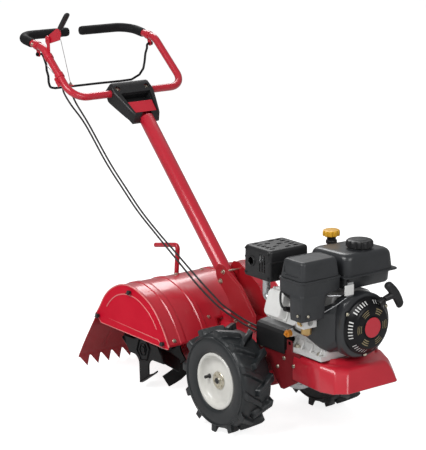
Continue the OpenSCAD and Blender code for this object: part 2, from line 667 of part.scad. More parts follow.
// ---- wheels ----
module wheel_axle() color(steel) difference() {
    along_y(-axle_half, axle_half, axle_r, z = axle_z);
    both_sides() along_x(-20, 20, 3 + fit, y = -wheel_y + 33, z = axle_z);
}
module wheel_pins() color(zinc) both_sides() {
    along_x(-21, 21, 3, y = -wheel_y + 33, z = axle_z);
    // plain washer on the outside of the hub
    ring_y(-wheel_y - 38.5, -wheel_y - 36.3, axle_r + fit, 27, z = axle_z);
}
module wheel_rims() color("#e9e6da") both_sides() difference() {
    turned_y(y = -wheel_y, z = axle_z) union() {
        h = rim_half;
        r = rim_r;
        polygon([[flange_r, -h], [flange_r, -h + 2.5], [r, -h + 2.5], [r, -h + 20], [r - 12, -h + 32],
            [r - 12, h - 32], [r, h - 20], [r, h - 2.5], [flange_r, h - 2.5], [flange_r, h],
            [r - 2.5, h], [r - 2.5, h - 21], [r - 14.5, h - 33], [r - 14.5, -h + 33], [r - 2.5, -h + 21],
            [r - 2.5, -h]]);
        polygon([[axle_r + fit, -36], [hub_r, -36], [hub_r, -34.5], [34, -34.5], [42, -31.5],
            [r - 1, -31.5], [r - 1, -28.5], [42, -28.5], [34, -31.5], [hub_r, -31.5], [hub_r, 46],
            [axle_r + fit, 46]]);
    }
    along_x(-30, 30, 3 + fit, y = -wheel_y + 33, z = axle_z);
}
// half outline of a tyre, as (radius, distance from its middle)
function tyre_side(s) = [[80, s*30], [rim_r + 0.5, s*(rim_half - 3)], [90, s*(rim_half - 3)],
    [93, s*(rim_half + 1)], [106, s*54], [125, s*tyre_w/2], [143, s*53], [153, s*45], [157, s*30]];
function tyre_inner(s) = [[150, s*30], [146, s*40], [137, s*47], [125, s*49.5], [108, s*48], [96, s*43],
    [90, s*38], [87, s*30]];
function reversed(v) = [for (i = [len(v) - 1:-1:0]) v[i]];
// one tread lug, a block that runs from the middle of the tread down over the shoulder
lug_half = 14;
lug_top = sqrt(axle_z*axle_z - lug_half*lug_half);
module tyre_lug(s, a) translate([0, -wheel_y, axle_z]) rotate([0, a, 0]) sheet_yz(-lug_half, lug_half)
    polygon([[s*3, 153], [s*3, lug_top], [s*38, lug_top], [s*48, 158], [s*53, 148], [s*46, 147],
        [s*34, 152]]);
module tyres() color(black) both_sides() {
    turned_y(y = -wheel_y, z = axle_z)
        polygon(concat(tyre_side(-1), reversed(tyre_side(1)), reversed(tyre_inner(1)), tyre_inner(-1)));
    for (i = [0:lug_count - 1]) {
        tyre_lug(1, i*360/lug_count);
        tyre_lug(-1, (i + 0.5)*360/lug_count);
    }
}

// ---- tines ----
plate_spots = [-180, -78, 78, 180];
function outer(y) = abs(y) > 100;
module tine_shaft() color(steel) difference() {
    along_y(-190, 190, tine_shaft_r, x = tine_x, z = tine_z);
    for (y = plate_spots) along_x(tine_x - 20, tine_x + 20, 3.1, y = y - 8*sign(y), z = tine_z);
}
// four arms with rounded inner corners, drawn with arm k along the angle 90*k
arm_half = 22;
bend_r = tine_r - 38;
star = [for (k = [0:3]) each [for (p = concat([[bend_r + 14.7, -arm_half], [bend_r - 14.7, arm_half]],
    [for (a = [270:-15:180]) [52 + 30*cos(a), 52 + 30*sin(a)]]))
    [p.x*cos(90*k) - p.y*sin(90*k), p.x*sin(90*k) + p.y*cos(90*k)]]];
// the tip of an arm, bent over a slanting line; b runs along that line, c across it in the blade
module tip() {
    b = unit([0.556, 0, -0.831]);
    c = unit([-0.203, 0.963, -0.136]);
    n = cross(b, c);
    multmatrix([[b.x, c.x, n.x, bend_r], [b.y, c.y, n.y, 0], [b.z, c.z, n.z, 0], [0, 0, 0, 1]])
        translate([0, 0, -2.5]) linear_extrude(5)
            polygon([[-27.8, -2], [25.2, -2], [62.8, 54.3], [26.2, 78.7]]);
}
module tines() color(black) for (k = [0:3]) {
    y = plate_spots[k];
    out = sign(y);
    way = outer(y) ? -out : out;
    face = outer(y) ? 12*out : 0;
    translate([tine_x, y, tine_z]) {
        difference() {
            union() {
                along_y(-18, 18, 20);
                rotate([0, outer(y) ? -2 : 43, 0]) translate([0, face, 0]) {
                    sheet_xz(-3, 3) polygon(star);
                    for (i = [0:3]) rotate([0, 90*i, 0]) scale_y(way) tip();
                }
                // pressed boss that closes the end of the hub
                if (outer(y)) rotate([0, 20, 0]) sheet_xz(min(14*out, 21*out), max(14*out, 21*out))
                    polygon([[0, 42], [32, 23], [32, -23], [0, -42], [-32, -23], [-32, 23]]);
            }
            along_y(outer(y) && out < 0 ? -12 : -30, outer(y) && out > 0 ? 12 : 30, tine_shaft_r + fit);
            along_x(-30, 30, 3.1, y = -8*out);
        }
        along_x(-24, 24, 3, y = -8*out);
    }
}
module scale_y(s) {
    if (s > 0) children();
    else mirror([0, 1, 0]) children();
}

// ---- depth lever ----
module depth_lever() color(red) {
    bend = stake_high;
    bent_rod([stake_low, bend, bend + [-128, 0, -26]], stake_r, 12);
}

// ---- engine ----
case_yz = [[-120.5, foot_z - crank_z], [105, foot_z - crank_z], [105, -91], [88, -91], [88, 60],
    [60, 86], [-74, 86], [-80, 78.8], [-110.4, -20.6], [-98, -78], [-100, -91], [-120.5, -91]];
module crankcase() color(alloy) difference() {
    union() {
        sheet_yz(case_x0, case_x1) translate([0, crank_z]) polygon(case_yz);
        along_y(-128, -100, 12, x = 212, z = 350);
    }
    along_x(case_x0 + 14, case_x1 - 14, 66, z = crank_z);
    box([case_x0 + 12, -82, 308], [case_x1 - 12, 80, crank_z]);
    along_x(case_x0 - 1, case_x1 + 1, 15 + fit, z = crank_z);
    cyl_frame() cylinder(h = deck + 5, r = bore_d/2);
    along_y(-140, -60, 4 + fit, x = 212, z = 350);
    for (p = engine_holes) translate([p.x, p.y, 280]) cylinder(h = 40, r = 4.6);
}
module cylinder_head() color(alloy) cyl_frame() difference() {
    union() {
        translate([0, 0, deck]) cylinder(h = head_at - deck, r = bore_d/2 + 7);
        for (d = [deck + 2:8:head_at - 6]) translate([-54, -48, d]) cube([108, 96, 3]);
        translate([-65, -50, head_at]) cube([128, 100, cover_at - head_at]);
    }
    translate([0, 0, deck - 1]) cylinder(h = head_at + 14 - deck, r = bore_d/2);
}
module valve_cover() color("#e3e5e4") cyl_frame() difference() {
    translate([-62, -44, cover_at + gap]) linear_extrude(cover_end - cover_at) offset(12) offset(-12)
        square([82, 88]);
    translate([-59, -41, cover_at - 1]) linear_extrude(cover_end - cover_at - 2) offset(9) offset(-9)
        square([76, 82]);
}
module spark_plug() {
    color(alloy) cyl_frame() translate([42, -4, cover_at + 0.1]) cylinder(h = 12, r = 9);
    color(black) {
        cyl_frame() translate([42, -4, cover_at + 12]) cylinder(h = 22, r = 7);
        a = [cyl_x + 42, 0, crank_z] + (cover_at + 28)*cyl_dir + [0, 1, 4];
        bent_rod([a, a + [-14, -2, 22], [258, -178, 512], [252, -120, 514]], 3.2, 8);
    }
}
module blower_housing() color(graphite) difference() {
    union() {
        along_x(blower_x, blower_x1, blower_r, z = crank_z);
        along_x(case_x1 + gap, blower_x + 3, 76, z = crank_z);
        box([case_x1 + 2, -160, 336], [blower_x + 24, -30, 428]);
    }
    along_x(blower_x + 3, blower_x1 + 1, blower_r - 4, z = crank_z);
    along_x(case_x1 + 3, blower_x + 4, 72, z = crank_z);
    box([case_x1 + 5, -157, 339], [blower_x + 21, -30, 425]);
    along_x(case_x1 - 1, case_x1 + 10, 30, z = crank_z);
    box([case_x1 - 1, -150, 345], [case_x1 + 10, -120, 420]);
}
module starter_cover() color(black) difference() {
    union() {
        turned_x(z = crank_z)
            polygon([[blower_r - 1, blower_x1 + gap], [blower_r - 1, 409], [88, 411], [66, 428], [60, 432],
                [27, 433], [25, 436], [0, 436], [0, 433], [23, 432], [24, 430], [58, 429], [63, 425],
                [85, 408], [blower_r - 5, 406], [blower_r - 5, blower_x1 + gap]]);
        rod(guide - 16*pull_dir, guide + 8*pull_dir, 10);
    }
    for (a = [15:15:345]) if (a < 20 || a > 70) translate([0, 0, crank_z]) rotate([a, 0, 0])
        box([400, -3, 68], [440, 3, 82]);
    for (a = [0:60:300]) for (r = [36, 46]) translate([0, 0, crank_z]) rotate([a, 0, 0])
        box([420, -12, r], [440, 12, r + 5]);
    rod(guide - 30*pull_dir, guide + 12*pull_dir, 3);
}
module flywheel() color(steel) turned_x(z = crank_z)
    polygon([[15 + fit, 352], [26, 352], [26, 360], [66, 360], [66, 378], [84, 378], [84, 396], [80, 396],
        [80, 382], [24, 382], [24, 386], [15 + fit, 386]]);
module crankshaft() color(steel) {
    along_x(106, 214, 11, z = crank_z);
    along_x(case_x0, case_x0 + 46, 15, z = crank_z);
    along_x(298, 392, 15, z = crank_z);
    for (x = [246, 284]) sheet_yz(x, x + 14) translate([0, crank_z]) {
        circle(30);
        polygon([[-44, -34], [44, -34], [22, 32], [-22, 32]]);
    }
    along_x(255, 290, 12, z = crank_z + 24);
}
tank_x = [194, 374];
tank_y = [-54, 144];
module tank_half(z0, z1, in) {
    translate([tank_x[0] + in, tank_y[0] + in, z0]) linear_extrude(z1 - z0)
        offset(22 - in/2) offset(-22 + in/2)
            square([tank_x[1] - tank_x[0] - 2*in, tank_y[1] - tank_y[0] - 2*in]);
}
module fuel_tank() color(graphite) difference() {
    union() {
        tank_half(500, 540, 6);
        tank_half(538, 544, -7);
        tank_half(540, 592, 0);
        translate([310, 55, 590]) cylinder(h = 16, r = 30);
    }
    tank_half(503, 541, 9);
    tank_half(540.5, 589, 3);
    translate([310, 55, 580]) cylinder(h = 30, r = 26);
}
module fuel_cap() color(black) difference() {
    union() {
        translate([310, 55, 600]) cylinder(h = 24, r = 41);
        for (i = [0:11]) rotate_about([310, 55], i*30) translate([310 + 40, 55, 601]) cylinder(h = 21, r = 4);
    }
    translate([310, 55, 599]) cylinder(h = 9, r = 30.5);
}
module rotate_about(c, a) { translate([c.x, c.y, 0]) rotate(a) translate([-c.x, -c.y, 0]) children(); }
oil_top = [165, 62, 612];
oil_axis = unit(oil_top - [168, 76, 428]);
module oil_fill_tube() color(black) difference() {
    p = [[case_x0 - gap, 76, 428], [168, 76, 428], oil_top];
    bent_rod(p, 14, 20);
    bent_rod(p, 12, 20, 1);
}
module oil_fill_cap() color("#e0a92c") {
    rod(oil_top + 0.5*oil_axis, oil_top + 18*oil_axis, 26.5);
    rod(oil_top - 18*oil_axis, oil_top + 1*oil_axis, 11.5);
}
module dipstick() color("#e08a1e") {
    along_y(-142, -128.2, 11, x = 212, z = 350);
    along_y(-150, -141, 4, x = 212, z = 350);
    along_y(-129, -84, 4, x = 212, z = 350);
}
module muffler() color(steel) {
    difference() {
        box([80, -174, 524], [178, -56, 590]);
        box([82, -172, 526], [176, -58, 588]);
    }
    bent_rod([[177.6, -158, 448], [135, -158, 448], [135, -158, 525]], 12, 18);
}
module muffler_guard() color(graphite) difference() {
    box([66, -190, 512], [190, -40, 605]);
    box([67.5, -188.5, 511], [191, -38, 603.5]);
    along_y(-195, -185, 12, x = 103, z = 561);
    for (x = [140, 151, 162]) box([x, -195, 535], [x + 4, -185, 590]);
    for (i = [0:3]) box([90 + 24*i, -150, 600], [98 + 24*i, -80, 610]);
}
module air_cleaner_base() color(graphite) difference() {
    union() {
        box([313, -200, 436], [370, -93, 524]);
        box([266, -200, 522], [370, -76, 546]);
        box([262, -204, 546], [374, -72, 552]);
    }
    box([316, -197, 439], [367, -96, 553]);
    box([269, -197, 525], [367, -79, 553]);
    for (z = [452, 448]) along_y(-210, -190, 5, x = z == 452 ? 330 : 356, z = z);
    along_x(300, 320, 10, y = -160, z = 470);
}
module air_cleaner_cover() color(graphite) difference() {
    translate([264, -202, 552 + gap]) linear_extrude(55) offset(12) offset(-12) square([108, 128]);
    translate([267, -199, 551]) linear_extrude(53) offset(9) offset(-9) square([102, 122]);
}
module carburetor() color(alloy) {
    difference() {
        box([307, -186, 402], [340, -136, 434]);
        along_x(300, 350, 10, y = -160, z = 418);
        along_x(320, 350, 2 + fit, y = -142, z = 428);
    }
    translate([322, -160, 384]) cylinder(h = 18, r = 15);
    color(zinc) translate([322, -160, 378]) cylinder(h = 6, r = 6, $fn = 6);
}
module choke_lever() color(steel) {
    along_x(322, 341.5, 2, y = -142, z = 428);
    box([341, -178, 429], [344, -140, 434]);
    box([341, -146, 422], [344, -138, 434]);
}
module throttle_lever() color("#d6d8d8") {
    box([390, -74, 496], [392.5, -40, 526]);
    along_x(380, 390, 4, y = -57, z = 502);
}
module starter_grip() color(black) {
    c = guide + 40*pull_dir + [8, 0, 0];
    across = [0, -pull_dir.z, pull_dir.y];
    rod(c - 46*across, c + 46*across, 11);
    rod(guide + 11*pull_dir, c, 8);
}
module starter_rope() color("#d8d4c4") rod(guide - 20*pull_dir, guide + 9.9*pull_dir, 2);

// ---- fasteners ----
module frame_bolts() color(zinc) {
    // pivot and clamp bolts of the handle, and the bolts of its bracket, as [x, z, radius]
    cross = concat([[pivot.x, pivot.z, 5], [clamp.x, clamp.z, 3.5]], [for (p = bracket_bolts) [p.x, p.y, 4]]);
    for (b = cross) {
        along_y(-42, 42, b.z, x = b.x, z = b.y);
        for (s = [-1, 1]) hex_head_y(b.x, s*(bracket_y + bracket_t + fit), b.y, b.z, s);
    }
    // engine feet
    for (p = engine_holes) {
        translate([p.x, p.y, 284]) cylinder(h = 27, r = 4.5);
        translate([p.x, p.y, foot_z + 15 + fit]) cylinder(h = 6, r = 8, $fn = 6);
    }
    // housing flange to the cross plate
    for (a = flange_bolts) along_x(44.2, 56, 4.5, y = 50*cos(a), z = worm_z + 50*sin(a));
}

transmission_housing();
housing_covers();
shaft_bearings();
engine_frame();
front_bumper();
hood_shell();
hood_end_plates();
hood_knobs();
flap_hinge_pin();
frame_bolts();
handle_bracket();
belt_cover();
crankcase();
cylinder_head();
valve_cover();
spark_plug();
blower_housing();
starter_cover();
fuel_tank();
oil_fill_tube();
muffler();
muffler_guard();
air_cleaner_base();
air_cleaner_cover();
carburetor();
handle_column();
handlebar();
handle_grips();
console();
control_brackets();
control_cables();
clutch_bail();
clutch_wire();
reverse_lever();
lever_grip();
reverse_wire();
wheel_axle();
wheel_rims();
tyres();
wheel_pins();
wheel_gear();
worm_shaft();
input_pulley();
crankshaft();
flywheel();
engine_pulley();
drive_belt();
tine_shaft();
tines();
tine_gear();
idler_arm();
rear_flap();
depth_lever();
starter_grip();
starter_rope();
fuel_cap();
oil_fill_cap();
dipstick();
throttle_lever();
choke_lever();
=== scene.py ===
"""Looks of the garden tiller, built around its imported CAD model. Lengths below are in millimetres."""
import math

import bmesh
import bpy
from mathutils import Matrix, Vector, noise


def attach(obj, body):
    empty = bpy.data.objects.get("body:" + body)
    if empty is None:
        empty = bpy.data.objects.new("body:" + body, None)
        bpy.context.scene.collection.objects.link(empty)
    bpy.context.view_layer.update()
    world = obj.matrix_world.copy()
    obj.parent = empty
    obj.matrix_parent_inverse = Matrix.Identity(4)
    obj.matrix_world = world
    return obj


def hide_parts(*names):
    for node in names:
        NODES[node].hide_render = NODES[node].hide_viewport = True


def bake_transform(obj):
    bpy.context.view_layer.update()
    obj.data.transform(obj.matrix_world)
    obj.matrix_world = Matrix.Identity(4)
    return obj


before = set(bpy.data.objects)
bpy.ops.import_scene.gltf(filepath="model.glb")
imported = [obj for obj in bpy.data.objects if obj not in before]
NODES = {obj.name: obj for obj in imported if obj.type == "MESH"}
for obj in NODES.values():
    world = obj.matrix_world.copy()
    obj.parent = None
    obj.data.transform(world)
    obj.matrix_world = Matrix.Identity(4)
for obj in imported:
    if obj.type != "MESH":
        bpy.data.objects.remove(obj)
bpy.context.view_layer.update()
MM = 0.001
V = Vector


# ---------------------------------------------------------------- materials
def ramp(nodes, links, source, lo, hi, a, b):
    """Maps source from lo..hi to a..b, clamped."""
    n = nodes.new("ShaderNodeMapRange")
    n.inputs["From Min"].default_value = lo
    n.inputs["From Max"].default_value = hi
    n.inputs["To Min"].default_value = a
    n.inputs["To Max"].default_value = b
    links.new(source, n.inputs["Value"])
    return n.outputs["Result"]


def mix(nodes, links, factor, a, b):
    n = nodes.new("ShaderNodeMix")
    n.data_type = "RGBA"
    links.new(factor, n.inputs[0])
    for sock, value in ((n.inputs[6], a), (n.inputs[7], b)):
        if hasattr(value, "links"):
            links.new(value, sock)
        else:
            sock.default_value = (*value, 1)
    return n.outputs[2]


def noise_tex(nodes, links, scale, detail=3.0, stretch=None, rough=0.55):
    co = nodes.new("ShaderNodeTexCoord")
    n = nodes.new("ShaderNodeTexNoise")
    n.inputs["Scale"].default_value = scale
    n.inputs["Detail"].default_value = detail
    n.inputs["Roughness"].default_value = rough
    if stretch:
        m = nodes.new("ShaderNodeMapping")
        m.inputs["Scale"].default_value = stretch
        links.new(co.outputs["Object"], m.inputs["Vector"])
        links.new(m.outputs["Vector"], n.inputs["Vector"])
    else:
        links.new(co.outputs["Object"], n.inputs["Vector"])
    return n.outputs["Fac"]


def material(name, color, rough=0.5, metal=0.0, coat=0.0, var=0.12, grain=600, bump=0.1, edge=0.6,
             wear=0.0, wear_color=(0.6, 0.6, 0.6), dust=0.0, spec=0.5, stretch=None, sheen=0.0):
    """Base colour with large soft variation, fine grain in the bump and the roughness, rounded and
    slightly worn edges, and dust that settles on faces that look up."""
    m = bpy.data.materials.new(name)
    m.use_nodes = True
    nodes, links = m.node_tree.nodes, m.node_tree.links
    p = nodes["Principled BSDF"]
    big = noise_tex(nodes, links, 9, 4)
    mid = noise_tex(nodes, links, 55, 4, stretch)
    fine = noise_tex(nodes, links, grain, 2, stretch)
    dark = tuple(c * (1 - var) for c in color)
    light = tuple(min(1, c * (1 + var) + 0.004) for c in color)
    col = mix(nodes, links, ramp(nodes, links, big, 0.35, 0.65, 0, 1), dark, light)
    col = mix(nodes, links, ramp(nodes, links, mid, 0.4, 0.75, 0, 0.35 * min(1, var * 4)), col, dark)
    if edge:
        rounded = nodes.new("ShaderNodeBevel")
        rounded.samples = 4
        rounded.inputs["Radius"].default_value = edge * MM
    if wear and edge:
        geo = nodes.new("ShaderNodeNewGeometry")
        dot = nodes.new("ShaderNodeVectorMath")
        dot.operation = "DOT_PRODUCT"
        links.new(rounded.outputs["Normal"], dot.inputs[0])
        links.new(geo.outputs["Normal"], dot.inputs[1])
        edges = ramp(nodes, links, dot.outputs["Value"], 0.97, 0.75, 0, 1)
        both = nodes.new("ShaderNodeMath")
        both.operation = "MULTIPLY"
        links.new(edges, both.inputs[0])
        links.new(ramp(nodes, links, mid, 0.45, 0.7, 0, wear), both.inputs[1])
        col = mix(nodes, links, both.outputs[0], col, wear_color)
    if dust:
        geo = nodes.new("ShaderNodeNewGeometry")
        sep = nodes.new("ShaderNodeSeparateXYZ")
        links.new(geo.outputs["Normal"], sep.inputs[0])
        up = nodes.new("ShaderNodeMath")
        up.operation = "MULTIPLY"
        links.new(ramp(nodes, links, sep.outputs["Z"], 0.2, 1, 0, dust), up.inputs[0])
        links.new(ramp(nodes, links, mid, 0.3, 0.7, 0.3, 1), up.inputs[1])
        col = mix(nodes, links, up.outputs[0], col, (0.42, 0.4, 0.37))
    links.new(col, p.inputs["Base Color"])
    uneven = min(0.14, 1.4 * var)
    links.new(ramp(nodes, links, mid, 0.3, 0.7, max(0.03, rough * (1 - uneven)), min(1, rough * (1 + uneven))),
              p.inputs["Roughness"])
    b = nodes.new("ShaderNodeBump")
    b.inputs["Strength"].default_value = bump
    b.inputs["Distance"].default_value = 0.0006
    links.new(fine, b.inputs["Height"])
    if edge:
        links.new(rounded.outputs["Normal"], b.inputs["Normal"])
    links.new(b.outputs["Normal"], p.inputs["Normal"])
    p.inputs["Metallic"].default_value = metal
    p.inputs["Specular IOR Level"].default_value = spec
    p.inputs["Coat Weight"].default_value = coat
    p.inputs["Coat Roughness"].default_value = 0.16
    p.inputs["Sheen Weight"].default_value = sheen
    return m


RED = material("red_enamel", (0.60, 0.010, 0.030), 0.34, coat=0.4, var=0.04, grain=900, bump=0.03, edge=0.8)
RED_TUBE = material("red_enamel_tube", (0.58, 0.014, 0.034), 0.3, coat=0.6, var=0.03, grain=900, bump=0.0, edge=0)
# painted shade: a much darker copy of the red enamel for the engine frame, whose side plates lie in shade
RED_DEEP_SHADED = material("red_enamel_deep_shaded", (0.17, 0.006, 0.010), 0.42, coat=0.12, var=0.06, grain=900, bump=0.03, edge=0.8)
RED_GLOSS = material("red_enamel_gloss", (0.60, 0.016, 0.034), 0.32, coat=0.75, var=0.03, grain=900, bump=0.02, edge=0.8)
# painted light: a brighter copy of the red enamel, without coat, for the hood end plates, standing in for the light
# that falls on them
RED_LIT_PLAIN = material("red_enamel_lit_plain", (0.70, 0.004, 0.028), 0.55, coat=0.0, var=0.03, grain=900, bump=0.02, spec=0.12)
# painted shade: a darker copy of the red enamel for the handle bracket plates and the rear flap, which lie in shade
RED_IN_SHADE = material("red_enamel_shaded", (0.42, 0.008, 0.016), 0.42, coat=0.08, var=0.05, grain=900, bump=0.03, edge=0.8)
# painted highlight: a light pink copy of the red enamel for the beads and rolled rims of the hood end plates, standing
# in for the highlights on their edges
RED_PAINTED_HIGHLIGHT = material("red_enamel_painted_highlight", (0.85, 0.20, 0.20), 0.35, coat=0.5, var=0.04, grain=900, bump=0.03)
BLACK_PAINT = material("black_enamel", (0.005, 0.005, 0.006), 0.32, coat=0.04, var=0.1, grain=700, bump=0.05, spec=0.22)
BLACK = material("black_plastic", (0.010, 0.010, 0.011), 0.42, var=0.15, grain=1600, bump=0.14, edge=0.8)
GRAPHITE = material("graphite_plastic", (0.030, 0.032, 0.035), 0.42, var=0.1, grain=1500, bump=0.18, edge=1.5,
                    dust=0.02)
GRAPHITE_PAINT = material("graphite_enamel", (0.026, 0.028, 0.031), 0.36, coat=0.2, var=0.08, grain=1000,
                          bump=0.05, edge=1.2)
ALLOY = material("cast_alloy", (0.80, 0.80, 0.79), 0.42, metal=0.35, var=0.1, grain=420, bump=0.3, edge=1.2)
STEEL = material("bright_steel", (0.6, 0.61, 0.62), 0.28, metal=1.0, var=0.12, grain=800, bump=0.08,
                 stretch=(1, 6, 1))
ZINC = material("zinc_plate", (0.66, 0.62, 0.5), 0.3, metal=1.0, var=0.2, grain=700, bump=0.1)
BRONZE = material("gear_bronze", (0.62, 0.42, 0.18), 0.35, metal=1.0, var=0.2, grain=500, bump=0.1)
FOAM = material("grip_foam", (0.008, 0.008, 0.009), 0.7, var=0.2, grain=2600, bump=0.4, spec=0.22)
RUBBER = material("hose_rubber", (0.016, 0.016, 0.017), 0.5, var=0.2, grain=1400, bump=0.12)
TYRE = material("tyre_rubber", (0.009, 0.012, 0.014), 0.38, var=0.08, grain=1100, bump=0.05, edge=1.4, spec=0.7)
SCREEN = material("screen_brass", (0.42, 0.34, 0.19), 0.5, metal=0.3, var=0.1, grain=500, bump=0.1)
RIM = material("rim_enamel", (0.80, 0.79, 0.74), 0.35, coat=0.4, var=0.06, grain=700, bump=0.05, edge=1.0)
YELLOW = material("yellow_plastic", (0.80, 0.43, 0.03), 0.35, var=0.1, grain=900, bump=0.05)
ORANGE = material("orange_plastic", (0.82, 0.30, 0.02), 0.35, var=0.1, grain=900, bump=0.05)
PALE = material("pale_casting", (0.86, 0.86, 0.84), 0.4, var=0.06, grain=900, bump=0.05)
ROPE = material("rope_fibre", (0.6, 0.57, 0.48), 0.8, var=0.2, grain=2500, bump=0.5, stretch=(1, 1, 3))

FINISH = {
    RED: "transmission_housing housing_covers front_bumper hood_shell hood_end_plates"
         " handle_column handlebar control_brackets reverse_lever depth_lever",
    RED_IN_SHADE: "handle_bracket rear_flap",
    RED_DEEP_SHADED: "engine_frame",
    BLACK_PAINT: "starter_cover clutch_bail tines",
    BLACK: "hood_knobs belt_cover oil_fill_tube console lever_grip starter_grip fuel_cap",
    GRAPHITE_PAINT: "blower_housing fuel_tank muffler_guard",
    GRAPHITE: "air_cleaner_base air_cleaner_cover",
    ALLOY: "crankcase cylinder_head valve_cover carburetor flywheel",
    STEEL: "shaft_bearings flap_hinge_pin muffler clutch_wire reverse_wire wheel_axle worm_shaft input_pulley"
           " crankshaft engine_pulley tine_shaft idler_arm choke_lever",
    ZINC: "frame_bolts wheel_pins",
    BRONZE: "wheel_gear tine_gear",
    FOAM: "handle_grips",
    RUBBER: "spark_plug control_cables drive_belt",
    TYRE: "tyres",
    RIM: "wheel_rims",
    YELLOW: "oil_fill_cap",
    ORANGE: "dipstick",
    PALE: "throttle_lever",
    ROPE: "starter_rope",
}
for mat, names in FINISH.items():
    for name in names.split():
        node = NODES[name]
        node.data.materials.clear()
        node.data.materials.append(mat)


# ---------------------------------------------------------------- mesh helpers
def smoothstep(x):
    x = max(0.0, min(1.0, x))
    return x * x * (3 - 2 * x)


def spline(pts, n, closed=False):
    """Catmull-Rom curve through pts, n steps in each span."""
    pts = [V(p) for p in pts]
    k = len(pts)
    get = (lambda i: pts[i % k]) if closed else (lambda i: pts[max(0, min(k - 1, i))])
    out = []
    for i in range(k if closed else k - 1):
        a, b, c, d = get(i - 1), get(i), get(i + 1), get(i + 2)
        for s in range(n):
            t = s / n
            out.append(0.5 * (2 * b + (c - a) * t + (2 * a - 5 * b + 4 * c - d) * t * t
                              + (3 * b - a - 3 * c + d) * t ** 3))
    if not closed:
        out.append(pts[-1])
    return out


def rounded(pts, r, n=6):
    """The line through pts with every corner replaced by an arc of radius r."""
    pts = [V(p) for p in pts]
    out = [pts[0]]
    for a, b, c in zip(pts, pts[1:], pts[2:]):
        u, w = (a - b).normalized(), (c - b).normalized()
        half = u.angle(w) / 2
        cut = min(r / math.tan(half), (a - b).length * 0.49, (c - b).length * 0.49) if half > 0.01 else 0
        rad = cut * math.tan(half)
        if cut < 0.01 or half > math.pi / 2 - 0.01:
            out.append(b)
            continue
        centre = b + (u + w).normalized() * rad / math.sin(half)
        p, q = b + u * cut - centre, b + w * cut - centre
        for i in range(n + 1):
            out.append(centre + p.normalized().slerp(q.normalized(), i / n) * rad)
    return out + [pts[-1]]


def add(bm, verts, faces):
    vs = [bm.verts.new(V(v) * MM) for v in verts]
    for f in faces:
        bm.faces.new([vs[i] for i in f])


def piece(name, bm, body, mat, *hides, angle=35, bevel=0, subdiv=0, slot=None):
    """Turns a bmesh into a shown piece on a body. hides names the CAD nodes that it stands for."""
    bmesh.ops.recalc_face_normals(bm, faces=bm.faces)
    me = bpy.data.meshes.new(name)
    bm.to_mesh(me)
    bm.free()
    me.materials.append(mat)
    me.shade_smooth()
    me.set_sharp_from_angle(angle=math.radians(angle))
    o = bpy.data.objects.new(name, me)
    bpy.context.scene.collection.objects.link(o)
    if bevel:
        m = o.modifiers.new("edges", "BEVEL")
        m.width, m.segments, m.limit_method, m.angle_limit = bevel * MM, 3, "ANGLE", math.radians(30)
        m.use_clamp_overlap = True
        m.harden_normals = True
    if subdiv:
        m = o.modifiers.new("round", "SUBSURF")
        m.levels = m.render_levels = subdiv
    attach(o, body)
    if hides:
        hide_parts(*hides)
    return o


def loft(rings, closed=True, caps=True, bm=None):
    """Skin over rings of points, every ring with the same count."""
    bm = bm or bmesh.new()
    n = len(rings[0])
    rows = [[bm.verts.new(V(p) * MM) for p in ring] for ring in rings]
    for a, b in zip(rows, rows[1:]):
        for i in range(n if closed else n - 1):
            j = (i + 1) % n
            bm.faces.new((a[i], a[j], b[j], b[i]))
    if caps and closed:
        bm.faces.new(rows[0][::-1])
        bm.faces.new(rows[-1])
    return bm


def pipe(pts, r, n=16, bm=None, closed=False, section=None):
    """A tube or rod along pts. r is a number or one value per point."""
    pts = [V(p) for p in pts]
    clean = [pts[0]]
    for p in pts[1:]:
        if (p - clean[-1]).length > 1e-4:
            clean.append(p)
    pts = clean
    k = len(pts)
    rs = r if isinstance(r, (list, tuple)) else [r] * k
    rings = []
    u = None
    for i, p in enumerate(pts):
        a = pts[(i - 1) % k] if closed or i else p
        b = pts[(i + 1) % k] if closed or i < k - 1 else p
        t = (b - a).normalized()
        if u is None:
            u = t.orthogonal().normalized()
        u = (u - u.dot(t) * t).normalized()
        w = t.cross(u)
        rings.append([p + rs[i] * (u * math.cos(c) + w * math.sin(c))
                      for c in (2 * math.pi * j / n for j in range(n))])
    if closed:
        return loft(rings + [rings[0]], caps=False, bm=bm)
    return loft(rings, bm=bm)


AXES = {"x": (V((1, 0, 0)), V((0, 1, 0)), V((0, 0, 1))),
        "y": (V((0, 1, 0)), V((0, 0, 1)), V((1, 0, 0))),
        "z": (V((0, 0, 1)), V((1, 0, 0)), V((0, 1, 0)))}


def lathe(profile, axis="x", at=(0, 0, 0), n=64, bm=None, frame_axes=None):
    """Turns a closed outline of (radius, length) round an axis. Points on the axis may have radius 0."""
    bm = bm or bmesh.new()
    a, u, w = frame_axes or AXES[axis]
    at = V(at)
    cols = []
    for r, t in profile:
        if r < 1e-6:
            v = bm.verts.new((at + a * t) * MM)
            cols.append([v] * n)
        else:
            cols.append([bm.verts.new((at + a * t + r * (u * math.cos(c) + w * math.sin(c))) * MM)
                         for c in (2 * math.pi * j / n for j in range(n))])
    for p, q in zip(cols, cols[1:] + cols[:1]):
        for i in range(n):
            j = (i + 1) % n
            face = list(dict.fromkeys((p[i], p[j], q[j], q[i])))
            if len(face) > 2:
                bm.faces.new(face)
    return bm


def prism(outline, a, b, plane="xz", bm=None):
    """A flat outline given thickness from a to b across its plane."""
    place = {"xz": lambda p, t: (p[0], t, p[1]), "yz": lambda p, t: (t, p[0], p[1]),
             "xy": lambda p, t: (p[0], p[1], t)}[plane]
    return loft([[place(p, a) for p in outline], [place(p, b) for p in outline]], bm=bm)


def block(lo, hi, bm=None):
    return prism([(lo[0], lo[1]), (hi[0], lo[1]), (hi[0], hi[1]), (lo[0], hi[1])], lo[2], hi[2], "xy", bm)


